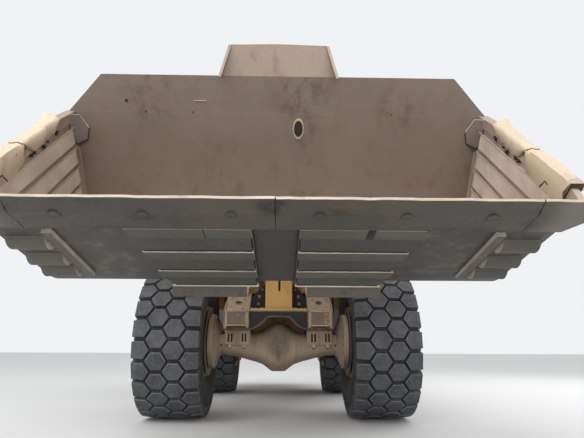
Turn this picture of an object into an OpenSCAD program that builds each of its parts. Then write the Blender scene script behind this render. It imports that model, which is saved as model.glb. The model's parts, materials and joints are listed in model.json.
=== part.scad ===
// Articulated wheel loader, bucket raised and rolled back. Front faces -Y, up is +Z, millimetres.
// Side-plane points are [forward of the front axle, height]; x is across the machine.

/* [Wheels and axles] */
// Radius over the tread lugs
tyre_r = 900; // [880:5:930]
// Width over the tyre sidewalls
tyre_w = 740; // [600:10:760]
// Height of the tread lugs
lug_h = 45; // [20:5:60]
// Lugs round one row of the tread
lug_n = 16; // [12:1:20]
// Radius of the rim where the tyre seats
rim_r = 400; // [380:5:440]
// Distance between the centres of the left and right wheels
track = 2430; // [2420:5:2470]
// Distance between the axles
wheelbase = 3700; // [3660:10:3900]
// Radius of the axle's centre housing
banjo_r = 275; // [220:5:290]
// Drop of the housing's centre below the wheel centre
banjo_drop = 55; // [0:5:80]

/* [Bucket] */
// Full width over the corner pieces of the edge
edge_w = 3440; // [3300:10:3700]
// Full width over the side plates
bucket_w = 3320; // [3200:10:3400]
// Thickness of the rolled floor and back
shell_t = 28; // [20:1:36]
// Thickness of a side plate
cheek_t = 40; // [24:2:50]
// Forward reach of the edge from the front axle
edge_f = 3850; // [3830:5:3900]
// Height of the edge above the ground
edge_z = 1550; // [1535:5:1600]
// Slope of the floor in the carry pose
floor_slope = 11.4; // [11.2:0.1:11.6]
// Slope of the back plate in the carry pose
back_slope = 53.2; // [53:0.1:54]
// Outer radius of the heel
heel_r = 430; // [415:5:440]
// Length of the cutting edge from its tip to its seam
edge_len = 300; // [260:10:340]
// Thickness of the cutting edge
edge_t = 50; // [40:2:60]
// Width of the back plate at its top
back_top_w = 2740; // [2500:10:2900]
// Width of the spill guard at its foot
guard_w = 930; // [800:10:1100]
// Height of the spill guard along its slope
guard_h = 235; // [180:5:260]
// Number of wear bars on the inside of each side plate
cheek_bar_n = 5; // [3:1:5]
// Distance from one inside wear bar to the next
cheek_bar_pitch = 155; // [150:1:165]
// Width of an inside wear bar
cheek_bar_w = 110; // [90:2:120]
// Number of cross bars in each wear group under the floor
floor_bar_n = 4; // [2:1:4]
// Distance from one cross bar to the next
floor_bar_pitch = 335; // [320:5:340]

/* [Lift arm and linkage] */
// Forward place of the lift arm hinge
arm_f = -900; // [-920:5:-880]
// Height of the lift arm hinge
arm_z = 2300; // [2280:5:2330]
// Forward place of the bucket hinge
hinge_f = 1910; // [1890:5:1925]
// Height of the bucket hinge
hinge_z = 1610; // [1595:5:1625]
// Thickness of a lift arm plate
arm_t = 100; // [70:5:105]
// Centre of each arm plate from the middle
arm_x = 695; // [693:1:700]
// Lever pivot, along the line from arm hinge to bucket hinge
lever_t = 1951; // [1930:5:1970]
// Lever pivot, above that line
lever_n = 232; // [220:2:240]
// Lower arm of the lever
lever_low = 760; // [740:5:770]
// Upper arm of the lever
lever_up = 700; // [680:5:710]
// Radius of the bucket link pin about the bucket hinge
link_arm = 430; // [420:2:440]
// Radius of the lift cylinder barrels
lift_r = 92; // [70:2:94]
// Radius of the tilt cylinder barrel
tilt_r = 110; // [80:2:115]

/* [Frames and body] */
// Forward place of the articulation pins
joint_f = -1850; // [-1860:5:-1840]
// Rearmost point of the machine, from the front axle
tail_f = -6000; // [-6100:10:-5990]
// Height of the frames' top edge
frame_z = 1500; // [1490:5:1505]
// Height of the platforms and the cab floor's underside
deck_z = 1960; // [1950:5:1975]
// Full width over the platforms
deck_w = 3100; // [3000:10:3150]
// Half width of the hood
hood_x = 720; // [700:5:725]
// Height of the hood's top
hood_z = 2620; // [2600:10:2700]
// Half width of the cab
cab_x = 820; // [790:5:830]
// Height of the roof's top
roof_z = 3730; // [3700:10:3800]
// Thickness of the cab walls and door
wall_t = 60; // [40:2:70]
// Slats in the rear grille
slat_n = 14; // [8:1:16]
// Slots in each engine door
slot_n = 9; // [5:1:10]

/* [Hidden] */
$fn = 48;
paint = "goldenrod";
worn = "tan";
steel = "dimgray";
dark = "darkslategray";
chrome = "silver";
// Running clearance of a pin in its bore
fit = 0.05;
// Shift that puts the middle of the machine's length at the origin
mid_f = (edge_f + tail_f) / 2;
rear_f = -wheelbase;
axle_z = tyre_r;
// Main points of the linkage in the side plane
A = [arm_f, arm_z];
B = [hinge_f, hinge_z];
boom_dir = atan2(B[1] - A[1], B[0] - A[0]);
boom_len = norm(B - A);
P = A + lever_t * [cos(boom_dir), sin(boom_dir)] + lever_n * [-sin(boom_dir), cos(boom_dir)];
T = P + lever_up * [cos(98), sin(98)];
Q = P + lever_low * [cos(-41), sin(-41)];
R = B + link_arm * [cos(78.5), sin(78.5)];
// Lift cylinder pins
lift_d = A + 845 * [cos(boom_dir), sin(boom_dir)] - 89 * [-sin(boom_dir), cos(boom_dir)];
lift_e = [-1150, 850];
lift_x = 541;
// Steering cylinder pins, [forward, x], and their height
steer_g = [joint_f + 550, 480];
steer_h = [joint_f - 650, 330];
steer_z = 1100;
// Radii of the pins
pin_a = 70;
pin_b = 60;
pin_c = 60;
pin_p = 55;
pin_r = 50;
pin_e = 60;
pin_h = 30;
pin_j = 75;
// Bucket outline: foot of the floor line, tangent points and centre of the heel
floor_dir = [cos(floor_slope), sin(floor_slope)];
back_dir = [cos(back_slope), sin(back_slope)];
tip = [edge_f, edge_z];
heel_turn = 180 + floor_slope - back_slope;
heel_a = tip - 1200 * floor_dir;
heel_c = heel_a + heel_r * [-sin(floor_slope), cos(floor_slope)];
heel_b = heel_c + heel_r * [-sin(back_slope), cos(back_slope)];
back_len = 788;
shoulder = heel_b + back_len * back_dir;
crown_len = 285;
crown = shoulder + crown_len * back_dir;
mouth = tip - 95 * floor_dir + 110 * [-sin(floor_slope), cos(floor_slope)];
cab_front = -2000;
cab_rear = -3400;
hood_front = -3430;
hood_rear = -5200;
guard_rear = -5800;
door_front = -2085;
door_rear = -2895;
door_z = [2000, 3500];
// Hinge axes of the doors: [forward, x], and [x, z] of the engine doors
knuckle_r = 12;
grille_axis = [guard_rear - knuckle_r - 0.3, -hood_x + 10];
cab_axis = [door_rear - 8, cab_x + knuckle_r + 0.3];
engine_axis = [hood_x + knuckle_r + 0.3, 2446];

// Side plane to machine: local x is forward, y is up, z is across
module plane() translate([0, mid_f, 0]) mirror([0, 1, 0]) rotate([90, 0, 90]) children();
// Extrude an outline of the side plane from x0 over a width w
module slab(x0, w) plane() translate([0, 0, x0]) linear_extrude(w) children();
// The same on both sides of the machine
module slabs(x0, w) {
    slab(x0, w) children();
    slab(-x0 - w, w) children();
}
// Cylinder across the machine at side point p
module bar(p, r, x0, w) plane() translate([p[0], p[1], x0]) cylinder(r = r, h = w);
module bars(p, r, x0, w) {
    bar(p, r, x0, w);
    bar(p, r, -x0 - w, w);
}
// Local x runs from side point a to side point b, at x across
module toward(a, b, x) plane() translate([a[0], a[1], x]) rotate([0, 0, atan2(b[1] - a[1], b[0] - a[0])])
    children();
// Round bar along local x from s over a length h
module rod(s, h, r) translate([s, 0, 0]) rotate([0, 90, 0]) cylinder(r = r, h = h);
// Box given by forward, across and height limits
module block(f, x, z) translate([x[0], mid_f - f[1], z[0]]) cube([x[1] - x[0], f[1] - f[0], z[1] - z[0]]);
module blocks(f, x, z) {
    block(f, x, z);
    block(f, [-x[1], -x[0]], z);
}
// Upright cylinder at forward f and across x
module post(f, x, r, z0, z1) translate([x, mid_f - f, z0]) cylinder(r = r, h = z1 - z0);
// Extrude a top-view outline of [x, forward] points
module plan(z0, z1) translate([0, mid_f, z0]) mirror([0, 1, 0]) linear_extrude(z1 - z0) children();
// Points of an arc about c from angle a0 to a1 in n steps
function arc(c, r, a0, a1, n) = [for (i = [0 : n]) c + r * [cos(a0 + (a1 - a0) * i / n), sin(a0 + (a1 - a0) * i / n)]];

// Wheels

tyre_profile = [[400, -250], [415, -300], [520, -360], [630, -370], [760, -352], [830, -300], [855, -180],
    [855, 180], [830, 300], [760, 352], [630, 370], [520, 360], [415, 300], [400, 250]];
// Outline point of the tyre, scaled from the rim's radius, the tread's radius and the tyre's width
function tp(p) = [rim_r + (p[0] - 400) * (tyre_r - lug_h - rim_r) / 455, p[1] * tyre_w / 740];
module tyre(f, side) translate([side * track / 2, mid_f - f, axle_z]) rotate([0, 90, 0]) {
    rotate_extrude() polygon([for (p = tyre_profile) tp(p)]);
    // Lugs: a centre row between two shoulder rows, trimmed to a round tread
    intersection() {
        cylinder(r = tyre_r, h = tyre_w, center = true);
        for (row = [[-0.31, 0.5, 0.14], [0, 0, 0.13], [0.31, 0.5, 0.14]], i = [0 : lug_n - 1])
            rotate([0, 0, (i + row[1]) * 360 / lug_n]) translate([tyre_r - lug_h - 45, 0, row[0] * tyre_w])
                rotate([0, 90, 0]) linear_extrude(lug_h + 60) scale([row[2] * tyre_w, tyre_r * PI / lug_n * 0.84])
                    polygon([[-1, -0.5], [0, -1], [1, -0.5], [1, 0.5], [0, 1], [-1, 0.5]]);
    }
}
// Rim: its seat and flanges follow the tyre's beads, and a disc carries the hub
rim_seat = [for (p = [[428, -322], [428, -309], [415, -300], [400, -250], [400, 250], [415, 300], [428, 309],
    [428, 322]]) tp(p)];
module rim(f, side) translate([side * track / 2, mid_f - f, axle_z]) rotate([0, side * 90, 0]) {
    rotate_extrude() polygon(concat([[0, -60], [260, -60], [345, -220], tp([355, -322])], rim_seat,
        [tp([355, 322]), [345, 200], [330, 60], [180, 40], [170, -20], [0, -20]]));
    // Planetary hub in the middle of the disc
    translate([0, 0, -30]) cylinder(r1 = 165, r2 = 150, h = 190);
    translate([0, 0, 150]) cylinder(r = 95, h = 40);
}
module tyre_fl() color(dark) tyre(0, 1);
module tyre_fr() color(dark) tyre(0, -1);
module tyre_rl() color(dark) tyre(rear_f, 1);
module tyre_rr() color(dark) tyre(rear_f, -1);
module rim_fl() color(paint) rim(0, 1);
module rim_fr() color(paint) rim(0, -1);
module rim_rl() color(paint) rim(rear_f, 1);
module rim_rr() color(paint) rim(rear_f, -1);

// Axle housing: revolved beam with a deep centre, flanges at its ends, pads or a trunnion on top
hub_x = track / 2 - 60.3;
module axle(f, nose) {
    translate([0, mid_f - f, axle_z]) rotate([0, 90, 0]) {
        for (s = [-1, 1]) mirror([0, 0, s < 0 ? 1 : 0]) {
            cylinder(r1 = 150, r2 = 128, h = 330);
            translate([0, 0, 330]) cylinder(r = 128, h = 310);
            translate([0, 0, 640]) cylinder(r = 140, h = hub_x - 640);
            translate([0, 0, 700]) cylinder(r1 = 150, r2 = 330, h = 90);
            translate([0, 0, 790]) cylinder(r = 330, h = 60);
            translate([0, 0, 850]) cylinder(r = 250, h = hub_x - 850);
        }
    }
    translate([0, mid_f - f, axle_z - banjo_drop]) {
        // Centre housing, its cover and the pinion nose
        rotate([90, 0, 0]) rotate_extrude() polygon([[0, -250], [120, -250], [190, -200], [banjo_r, -90],
            [banjo_r, 90], [150, 265], [70, 300], [0, 300]]);
        rotate([0, 90, 0]) for (s = [-1, 1]) mirror([0, 0, s < 0 ? 1 : 0])
            cylinder(r1 = banjo_r - 5, r2 = 120, h = 480);
    }
    translate([0, mid_f - f, axle_z]) rotate([nose * 90, 0, 0]) cylinder(r = 105, h = 420);
}
module front_axle() color(worn) {
    axle(0, -1);
    // Shaft back to the universal joint at the articulation
    plane() translate([-400, axle_z, 0]) rotate([0, -90, 0]) cylinder(r = 45, h = -400 - joint_f - 80);
    // Mounting pads with open windows round the bolts
    difference() {
        blocks([-190, 190], [345, 625], [axle_z - 60, 1030]);
        for (x = [392, 518], s = [-1, 1]) block([150, 260], [s * x - 26 + s * 26, s * x + 26 + s * 26], [930, 1000]);
    }
}
module rear_axle() color(worn) {
    axle(rear_f, 1);
    block([rear_f - 170, rear_f + 170], [-300, 300], [axle_z + 60, 1180]);
}

// Front frame

// Tower plates stand behind the sweep of the lift cylinders
tower = [[-1340, 1250], [-1125, 1250], [-680, 2110], A + [240, 40], A + [190, 150], A + [70, 215],
    A + [-70, 215], A + [-220, 150], [-1340, 2100]];
tower_out = concat([[-1340, 1250], [-920, 1250], [-650, 1760], [-640, 2110]], [for (i = [3 : len(tower) - 1]) tower[i]]);
module front_frame() color(paint) {
    difference() {
        union() {
            // Main plates from the nose to the articulation
            slabs(340, 40) polygon([[550, 1030], [550, 1230], [200, 1450], [-100, frame_z], [-1300, frame_z],
                [-1300, 700], [-450, 700], [-340, 1030]]);
            // Outer nose plates beside the axle pads
            slabs(595, 35) polygon([[545, 1030], [545, 1215], [200, 1435], [-120, 1470], [-150, 1030]]);
            // Sloped nose covers and nose fronts
            slabs(370, 235) polygon([[550, 1060], [550, 1230], [200, 1450], [190, 1425], [525, 1215],
                [525, 1060]]);
            // Pad seats on the axle
            blocks([-150, 190], [360, 610], [1030, 1062]);
            slabs(370, 235) polygon([[-120, 1050], [-150, 1050], [-150, 1470], [-120, 1470]]);
            // Tower plates, inside and outside of each arm
            slabs(590, 40) polygon(tower);
            slabs(760, 40) polygon(tower_out);
            // Rear wall of the tower with an open window
            difference() {
                block([-1340, -1300], [-800, 800], [1250, arm_z + 100]);
                block([-1400, -1200], [-330, 330], [1640, 1960]);
            }
            // Cross box and lugs of the tilt cylinder
            slab(-600, 1200) polygon([[-1320, 2050], [-1150, 2080], [-1110, 2240], [-1110, 2400], [-1320, 2400]]);
            slabs(90, 42) polygon(concat([[-1150, 2080], [-1150, 2400]],
                arc(A, 125, 75, -75, 10)));
            // Cross walls between the main plates
            block([-420, -380], [-350, 350], [720, frame_z]);
            // Lower cylinder brackets
            slabs(650, 40) polygon([[-1340, 1300], [-1260, 760], [-1060, 760], [-1000, 900], [-1000, 1010],
                [-1180, 1090], [-1180, 1300]]);
            // Nose: arched cross plate, shelf and the centre block behind it
            slab(-345, 690) polygon([[470, 1160], [510, 1160], [510, 1235], [470, 1235]]);
            translate([0, mid_f - 510, 0]) rotate([90, 0, 0]) mirror([0, 0, 1]) linear_extrude(40)
                polygon([[-345, 1030], [-260, 1040], [-215, 1060], [-130, 1150], [-90, 1165], [90, 1165],
                    [130, 1150], [215, 1060], [260, 1040], [345, 1030], [345, 1235], [-345, 1235]]);
            block([150, 520], [-345, 345], [1235, 1262]);
            translate([0, mid_f - 380, 0]) rotate([90, 0, 0]) mirror([0, 0, 1]) linear_extrude(200)
                polygon([[-160, 1250], [160, 1250], [160, 1600], [120, 1650], [-120, 1650], [-160, 1600]]);
            block([-400, 200], [-340, 340], [frame_z - 30, frame_z]);
            // Upper and lower hitch plates
            plan(1480, 1540) polygon(concat([[-800, -1340], [-640, -1340], [-630, -1010], [630, -1010],
                [640, -1340], [800, -1340], [480, -1480]], arc([0, joint_f], 180, -10, -170, 12),
                [[-480, -1480]]));
            plan(700, 760) polygon(concat([[-380, -1300], [-380, -800], [380, -800], [380, -1300],
                [300, -1480]], arc([0, joint_f], 180, -10, -170, 12), [[-300, -1480]]));
            // Steering cylinder lugs
            for (s = [-1, 1], z = [steer_z - 75, steer_z + 45])
                block([-1390, -1180], [s > 0 ? 370 : -560, s > 0 ? 560 : -370], [z, z + 30]);
            // Hinge pins of the arms, the tilt cylinder and the lift cylinders
            bars(A, pin_a, 600, 190);
            bar(A, pin_c, -120, 240);
            bars(lift_e, pin_e, 360, 320);
        }
        // Holes in the sloped covers, for tie-down shackles
        for (s = [-1, 1]) translate([s * 480, mid_f - 375, 1325]) rotate([32.15, 0, 0])
            cylinder(r = 38, h = 200, center = true);
        // Bores of the articulation pins
        post(joint_f, 0, pin_j + fit, 650, 1600);
        // Way through for the shaft
        plane() translate([-400, axle_z, 0]) rotate([0, 90, 0]) cylinder(r = 125, h = 200, center = true);
    }
}
// Fenders arch over the rear half of the front tyres
fender_r = tyre_r + 85;
module front_fenders() color(paint) {
    slabs(800.3, 770) polygon(concat(arc([0, axle_z], fender_r, 92, 152, 14),
        arc([0, axle_z], fender_r - 12, 152, 92, 14)));
    slabs(1560, 12) polygon(concat(arc([0, axle_z], fender_r, 92, 152, 14),
        arc([0, axle_z], fender_r - 45, 152, 92, 14)));
}
module headlamps() color(dark) for (s = [-1, 1]) {
    block([-250, -200], [s * 950 - 25, s * 950 + 25],
        [axle_z + sqrt(fender_r * fender_r - 200 * 200), 2110]);
    block([-300, -140], [s * 950 - 110, s * 950 + 110], [2110, 2290]);
    translate([s * 950, mid_f + 140, 2200]) rotate([90, 0, 0]) cylinder(r = 78, h = 15);
}

// Lift arm: two bent plates, a cross tube and the lever's brackets
arm_outline = concat(arc([0, 0], 150, 250, 110, 8), [[330, 250], [1000, 330], [1700, 345], [2250, 250], [2620, 140]],
    arc([boom_len, 0], 125, 80, -100, 10), [[2400, -50], [1900, -20], [1350, -85]],
    arc([845, -89], 105, -75, -115, 4), [[350, -140]]);
// The cross tube stands behind the lever, above the nose when the arm is down
tube_t = [lever_t - 311, lever_n - 7];
module lift_arm() color(paint) {
    difference() {
        union() {
            for (s = [-1, 1]) toward(A, B, s * arm_x) {
                translate([0, 0, -arm_t / 2]) linear_extrude(arm_t) polygon(arm_outline);
                translate([0, 0, -60]) cylinder(r = 150, h = 120);
                translate([boom_len, 0, -60]) cylinder(r = 130, h = 120);
                translate([845, -89, s * arm_t / 2 - 8]) cylinder(r = 78, h = 16);
            }
            toward(A, B, -arm_x) translate([tube_t[0], tube_t[1], 0]) cylinder(r = 115, h = 2 * arm_x);
            // Lever brackets rise from the tube to the pivot
            for (x = [-178, 136]) toward(A, B, x) linear_extrude(42) polygon(concat(
                arc(tube_t, 112, 95, 265, 8), arc([lever_t, lever_n], 112, -85, 85, 10)));
            toward(A, B, -160) translate([lever_t, lever_n, 0]) cylinder(r = pin_p, h = 320);
        }
        for (s = [-1, 1]) toward(A, B, s * arm_x) {
            translate([0, 0, -80]) cylinder(r = pin_a + fit, h = 160);
            translate([boom_len, 0, -80]) cylinder(r = pin_b + fit, h = 160);
        }
    }
}
lever_bend = 98 + 41;
module lever() color(paint) difference() {
    union() {
        for (x = [-120, 75]) toward(P, Q, x) linear_extrude(45) polygon(concat(
            arc([lever_low, 0], 100, -75, 75, 8), [[430, 150]], arc([0, 0], 160, 42, 58, 3),
            arc(lever_up * [cos(lever_bend), sin(lever_bend)], 100, lever_bend - 75, lever_bend + 75, 8),
            arc([0, 0], 175, lever_bend + 40, 300, 9), [[430, -130]]));
        toward(P, Q, -128) cylinder(r = 135, h = 256);
        for (x = [-130, 118]) toward(P, Q, x) {
            translate([lever_low, 0, 0]) cylinder(r = 62, h = 12);
            translate(lever_up * [cos(lever_bend), sin(lever_bend), 0]) cylinder(r = 62, h = 12);
        }
    }
    toward(P, Q, -140) cylinder(r = pin_p + fit, h = 280);
}
module link() color(paint) difference() {
    union() {
        toward(R, Q, -70) cylinder(r = 92, h = 140);
        toward(R, Q, -70) translate([norm(Q - R), 0, 0]) cylinder(r = 88, h = 140);
        toward(R, Q, -45) translate([0, -68, 0]) cube([norm(Q - R), 136, 90]);
    }
    toward(R, Q, -80) cylinder(r = pin_r + fit, h = 160);
}
// Hydraulic cylinder barrel on a bored eye, and its rod with a plain eye at the far end
module barrel(a, b, x, r, len, eye_r, eye_w, pin, rod_r) difference() {
    union() {
        toward(a, b, x - eye_w / 2) cylinder(r = eye_r, h = eye_w);
        toward(a, b, x) {
            rod(eye_r * 0.7, eye_r * 0.3 + 25, rod_r + 14);
            rod(eye_r + 15, len - eye_r - 15, r);
            rod(len - 90, 90, r + 6);
        }
    }
    toward(a, b, x - eye_w) cylinder(r = pin + fit, h = eye_w * 2);
    toward(a, b, x) rod(eye_r + 8, len, rod_r + fit);
}
module piston_rod(a, b, x, start, eye_r, eye_w, r) {
    toward(a, b, x) rod(start, norm(b - a) - start, r);
    toward(a, b, x - eye_w / 2) translate([norm(b - a), 0, 0]) cylinder(r = eye_r, h = eye_w);
}
tilt_len = 1590;
module tilt_barrel() color(paint) barrel(A, T, 0, tilt_r, tilt_len, 122, 156, pin_c, 58);
module tilt_rod() color(chrome) piston_rod(A, T, 0, 480, 88, 140, 58);
lift_len = 1160;
module lift_barrels() color(paint) for (s = [-1, 1])
    barrel(lift_e, lift_d, s * lift_x, lift_r, lift_len, 118, 180, pin_e, 50);
module lift_rods() color(chrome) for (s = [-1, 1])
    piston_rod(lift_e, lift_d, s * lift_x, 425, 88, 186, 50);

// Bucket

// Outline of the rolled shell at an offset o towards the inside
function shell_line(o) = concat(
    [tip - 60 * floor_dir + o * [-sin(floor_slope), cos(floor_slope)]],
    arc(heel_c, heel_r - o, floor_slope - 90, floor_slope - 90 - heel_turn, 16),
    [shoulder + o * [sin(back_slope), -cos(back_slope)]]);
// Local x forward along the skin at arc length s behind the tip, y towards the inside by n
module skin_at(s, n) {
    if (s <= 1200) floor_at(s, n) children();
    else translate(heel_c) rotate([0, 0, floor_slope - (s - 1200) / heel_r * 180 / PI])
        translate([0, n - heel_r]) children();
}
module floor_at(s, n) translate(tip - s * floor_dir + n * [-sin(floor_slope), cos(floor_slope)])
    rotate([0, 0, floor_slope]) children();
function rev(v) = [for (i = [len(v) - 1 : -1 : 0]) v[i]];
cheek = concat(shell_line(0), [mouth]);
// Plate in the slope of the back: x across, y up the slope from point p, depth d0 to d1 towards the inside
module on_back(p, d0, d1) plane() translate([p[0], p[1], 0]) rotate([0, 0, back_slope]) rotate([0, -90, -90])
    translate([0, 0, -d1]) linear_extrude(d1 - d0) children();
// Point in the middle of the back plate's thickness, at length l above the heel
function behind(l) = heel_b + l * back_dir + shell_t / 2 * [sin(back_slope), -cos(back_slope)];
ear = concat(arc(B, 120, 120, 290, 8), arc(heel_c, heel_r - shell_t / 2, 250, 90 + back_slope, 10), [behind(150)]);
module bucket_sides() difference() {
    union() {
        slab(-bucket_w / 2 + cheek_t / 2, bucket_w - cheek_t) polygon(concat(shell_line(0), rev(shell_line(shell_t))));
        slabs(bucket_w / 2 - cheek_t, cheek_t) polygon(cheek);
        // Worn rails along the mouth of each side
        slabs(bucket_w / 2 - cheek_t - 12, cheek_t + 42) polygon([shoulder, shoulder + 40 * floor_dir, mouth + [20, 30],
            mouth - [70, 20], shoulder + [15, -95]]);
        // Hinge ears and link ears on the back
        for (x = [582, 758]) slabs(x, 50) polygon(ear);
        slabs(80, 42) polygon(concat(arc(R, 105, 90, 250, 8),
            arc(heel_c, heel_r - shell_t / 2, 190, 90 + back_slope, 5), [behind(250)]));
        bars(B, pin_b, 600, 190);
        bar(R, pin_r, -110, 220);
    }
    // Trim the worn rails to the mouth and the floor
    slab(-2000, 4000) polygon([shoulder + 700 * back_dir, shoulder + [-1, 1], mouth + [0, 130], mouth + [500, 500]]);
}
module bucket_shell() color(worn) {
    bucket_sides();
    // Back plate above the shoulders narrows to its top edge
    on_back(shoulder, 2, shell_t - 2) polygon([[-bucket_w / 2 + 2, -40], [bucket_w / 2 - 2, -40],
        [bucket_w / 2 - 2, 0], [back_top_w / 2, crown_len], [-back_top_w / 2, crown_len],
        [-bucket_w / 2 + 2, 0]]);
}
// Bars on the inside of each side plate, run parallel to the mouth
mouth_dir = (mouth - shoulder) / norm(mouth - shoulder);
mouth_in = [-mouth_dir[1] * -1, mouth_dir[0] * -1];
module bucket_wear() color(steel) {
    intersection() {
        slab(-2000, 4000) polygon(concat(shell_line(shell_t + 12), [mouth]));
        for (i = [0 : cheek_bar_n - 1]) slabs(bucket_w / 2 - cheek_t - 25, 25) polygon([
            for (e = [[170, 0], [1550, 0], [1550, 1], [170, 1]])
                shoulder + (e[0] + i * 22) * mouth_dir
                    - (105 + i * cheek_bar_pitch + e[1] * cheek_bar_w) * [-mouth_dir[1], mouth_dir[0]]]);
    }
    // Cross bars under the floor in two groups beside the middle, then round the heel
    for (i = [0 : floor_bar_n - 1]) slabs(140, 720 - i * 25) difference() {
        skin_at(edge_len + 62 + i * floor_bar_pitch, -23) square([116, 54], center = true);
        polygon(cheek);
    }
    // Skids under the heel, let in between the hinge ears
    slabs(230, 570) difference() {
        polygon(concat(arc(heel_c, heel_r - 10, 264, 225, 6), arc(heel_c, heel_r + 135, 232, 256, 5)));
        polygon(cheek);
        polygon(ear);
    }
    // Rounded heel pads at the outer corners
    for (s = [600, 865, 1085]) slabs(1400, 235) difference() {
        skin_at(s, 55) circle(r = 100);
        polygon(cheek);
    }
    // Long wear strips under the floor
    slabs(1310, 55) difference() {
        skin_at(780, -13) square([740, 30], center = true);
        polygon(cheek);
    }
}
module cutting_edge() color(steel) {
    slab(-edge_w / 2, edge_w) floor_at(0, 0) polygon([[0, 0], [-edge_len, 0], [-edge_len, -edge_t],
        [-110, -edge_t], [-4, -14]]);
    slabs(bucket_w / 2, (edge_w - bucket_w) / 2) floor_at(0, 0) polygon([[0, 0], [-edge_len, 0],
        [-edge_len, 60], [-180, 90], [-40, 20]]);
}
module spill_guard() color(worn) {
    on_back(crown, 0, 20) polygon([[-guard_w / 2 + 20, 0], [guard_w / 2 - 20, 0], [guard_w / 2 - 95, guard_h - 8],
        [0, guard_h], [-guard_w / 2 + 95, guard_h - 8]]);
    // Side flanges, widest at the foot
    for (s = [-1, 1]) plane() translate([crown[0], crown[1], s * (guard_w / 2 - 20)]) rotate([0, 0, back_slope])
        rotate([0, s * atan2(77, guard_h), 0]) translate([0, 0, -10]) linear_extrude(20)
            polygon([[4, -150], [guard_h, -30], [guard_h, 0], [4, 0]]);
}

// Steering cylinders lie flat between the frames, [forward, x] points turned to the plan
module steer_place(s) translate([s * steer_h[1], mid_f - steer_h[0], steer_z])
    rotate([0, 0, -90 + s * atan2(steer_g[1] - steer_h[1], steer_g[0] - steer_h[0])]) children();
steer_len = norm(steer_g - steer_h);
module steer_barrel(s) steer_place(s) difference() {
    union() {
        translate([0, 0, -40]) cylinder(r = 62, h = 80);
        rod(45, 70, 40);
        rod(108, 662, 55);
        rod(715, 70, 62);
    }
    translate([0, 0, -60]) cylinder(r = pin_h + fit, h = 120);
    rod(120, 900, 30 + fit);
}
module steer_rod(s) steer_place(s) {
    rod(440, steer_len - 440, 30);
    translate([steer_len, 0, -40]) cylinder(r = 62, h = 80);
}
module steer_barrel_l() color(paint) steer_barrel(1);
module steer_barrel_r() color(paint) steer_barrel(-1);
module steer_rod_l() color(chrome) steer_rod(1);
module steer_rod_r() color(chrome) steer_rod(-1);

// Rear frame

module rear_frame() color(paint) {
    slabs(440, 40) polygon([[-2600, 850], [-2600, frame_z], [-5750, frame_z], [-5750, 1050],
        [rear_f - 700, 1000], [rear_f - 450, 1180], [rear_f + 450, 1180], [rear_f + 650, 850]]);
    difference() {
        block([-2640, -2600], [-480, 480], [620, 1620]);
        plane() translate([-2620, axle_z, 0]) rotate([0, 90, 0]) cylinder(r = 120, h = 200, center = true);
    }
    // Forks above and below the front hitch plates
    for (z = [[1410, 1472], [1548, 1610], [630, 692], [766, 820]]) plan(z[0], z[1]) polygon(concat(
        [[-380, -2620], [-230, -2060]], arc([0, joint_f], 180, 190, -10, 12), [[230, -2060], [380, -2620]]));
    post(joint_f, 0, pin_j, 630, 820);
    post(joint_f, 0, pin_j, 1410, 1610);
    // Steering cylinder lugs and pins
    for (s = [-1, 1]) {
        for (z = [steer_z - 75, steer_z + 45])
            block([-2620, -2430], [s * 330 - 75, s * 330 + 75], [z, z + 30]);
        post(steer_h[0], s * steer_h[1], pin_h, steer_z - 60, steer_z + 60);
    }
    // Gussets between the forks
    blocks([-2620, -2300], [150, 180], [800, 1440]);
    // Rear axle seat, cross members and rear wall
    block([rear_f - 170, rear_f + 170], [-450, 450], [1180, 1300]);
    block([-3100, -3060], [-450, 450], [1150, frame_z]);
    block([-5750, -5710], [-450, 450], [1050, frame_z]);
}
// Rear face of the gearbox, clear of the rear axle's nose
box_rear = max(-3050, rear_f + 430);
module gearbox() color(dark) {
    slab(-300, 600) polygon([[-2680, 800], [-2680, 1380], [-2780, 1460], [box_rear, 1460], [box_rear, 860],
        [box_rear + 70, 760], [-2740, 760]]);
    // Output shaft with its universal joint at the articulation
    plane() translate([-2700, axle_z, 0]) rotate([0, 90, 0]) cylinder(r = 45, h = joint_f + 2700);
    plane() translate([joint_f, axle_z, 0]) sphere(r = 74);
    // Rear output to the rear axle
    plane() translate([box_rear + 10, axle_z - 20, 0]) rotate([0, -90, 0])
        cylinder(r = 45, h = box_rear + 10 - rear_f - 420.3);
    blocks([-2900, -2760], [290, 440], [1100, 1200]);
}
// The engine's sump starts behind the rear axle's seat
sump_f = min(rear_f - 450, -4130);
module engine() color(dark) {
    slab(-380, 760) polygon([[-3900, 1302], [-3900, 2050], [-4000, 2150], [-4950, 2150], [-5050, 2050],
        [-5050, 1300], [-4900, 1150], [sump_f - 150, 1150], [sump_f, 1302]]);
    blocks([-4800, -4600], [370, 440], [1250, 1350]);
}
module counterweight() color(paint) difference() {
    union() {
        plan(820, frame_z) polygon([[-1350, -5350], [-1350, -5800], [-1200, tail_f], [1200, tail_f],
            [1350, -5800], [1350, -5350], [900, -4760], [485, -4760], [485, -5752], [-485, -5752],
            [-485, -4760], [-900, -4760]]);
        block([tail_f + 5, -5752], [-484, 484], [700, 900]);
    }
    // Drawbar slot and its pin bore
    block([tail_f - 10, tail_f + 150], [-140, 140], [1010, 1150]);
    post(tail_f + 75, 0, 30, 650, 1550);
}
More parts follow.
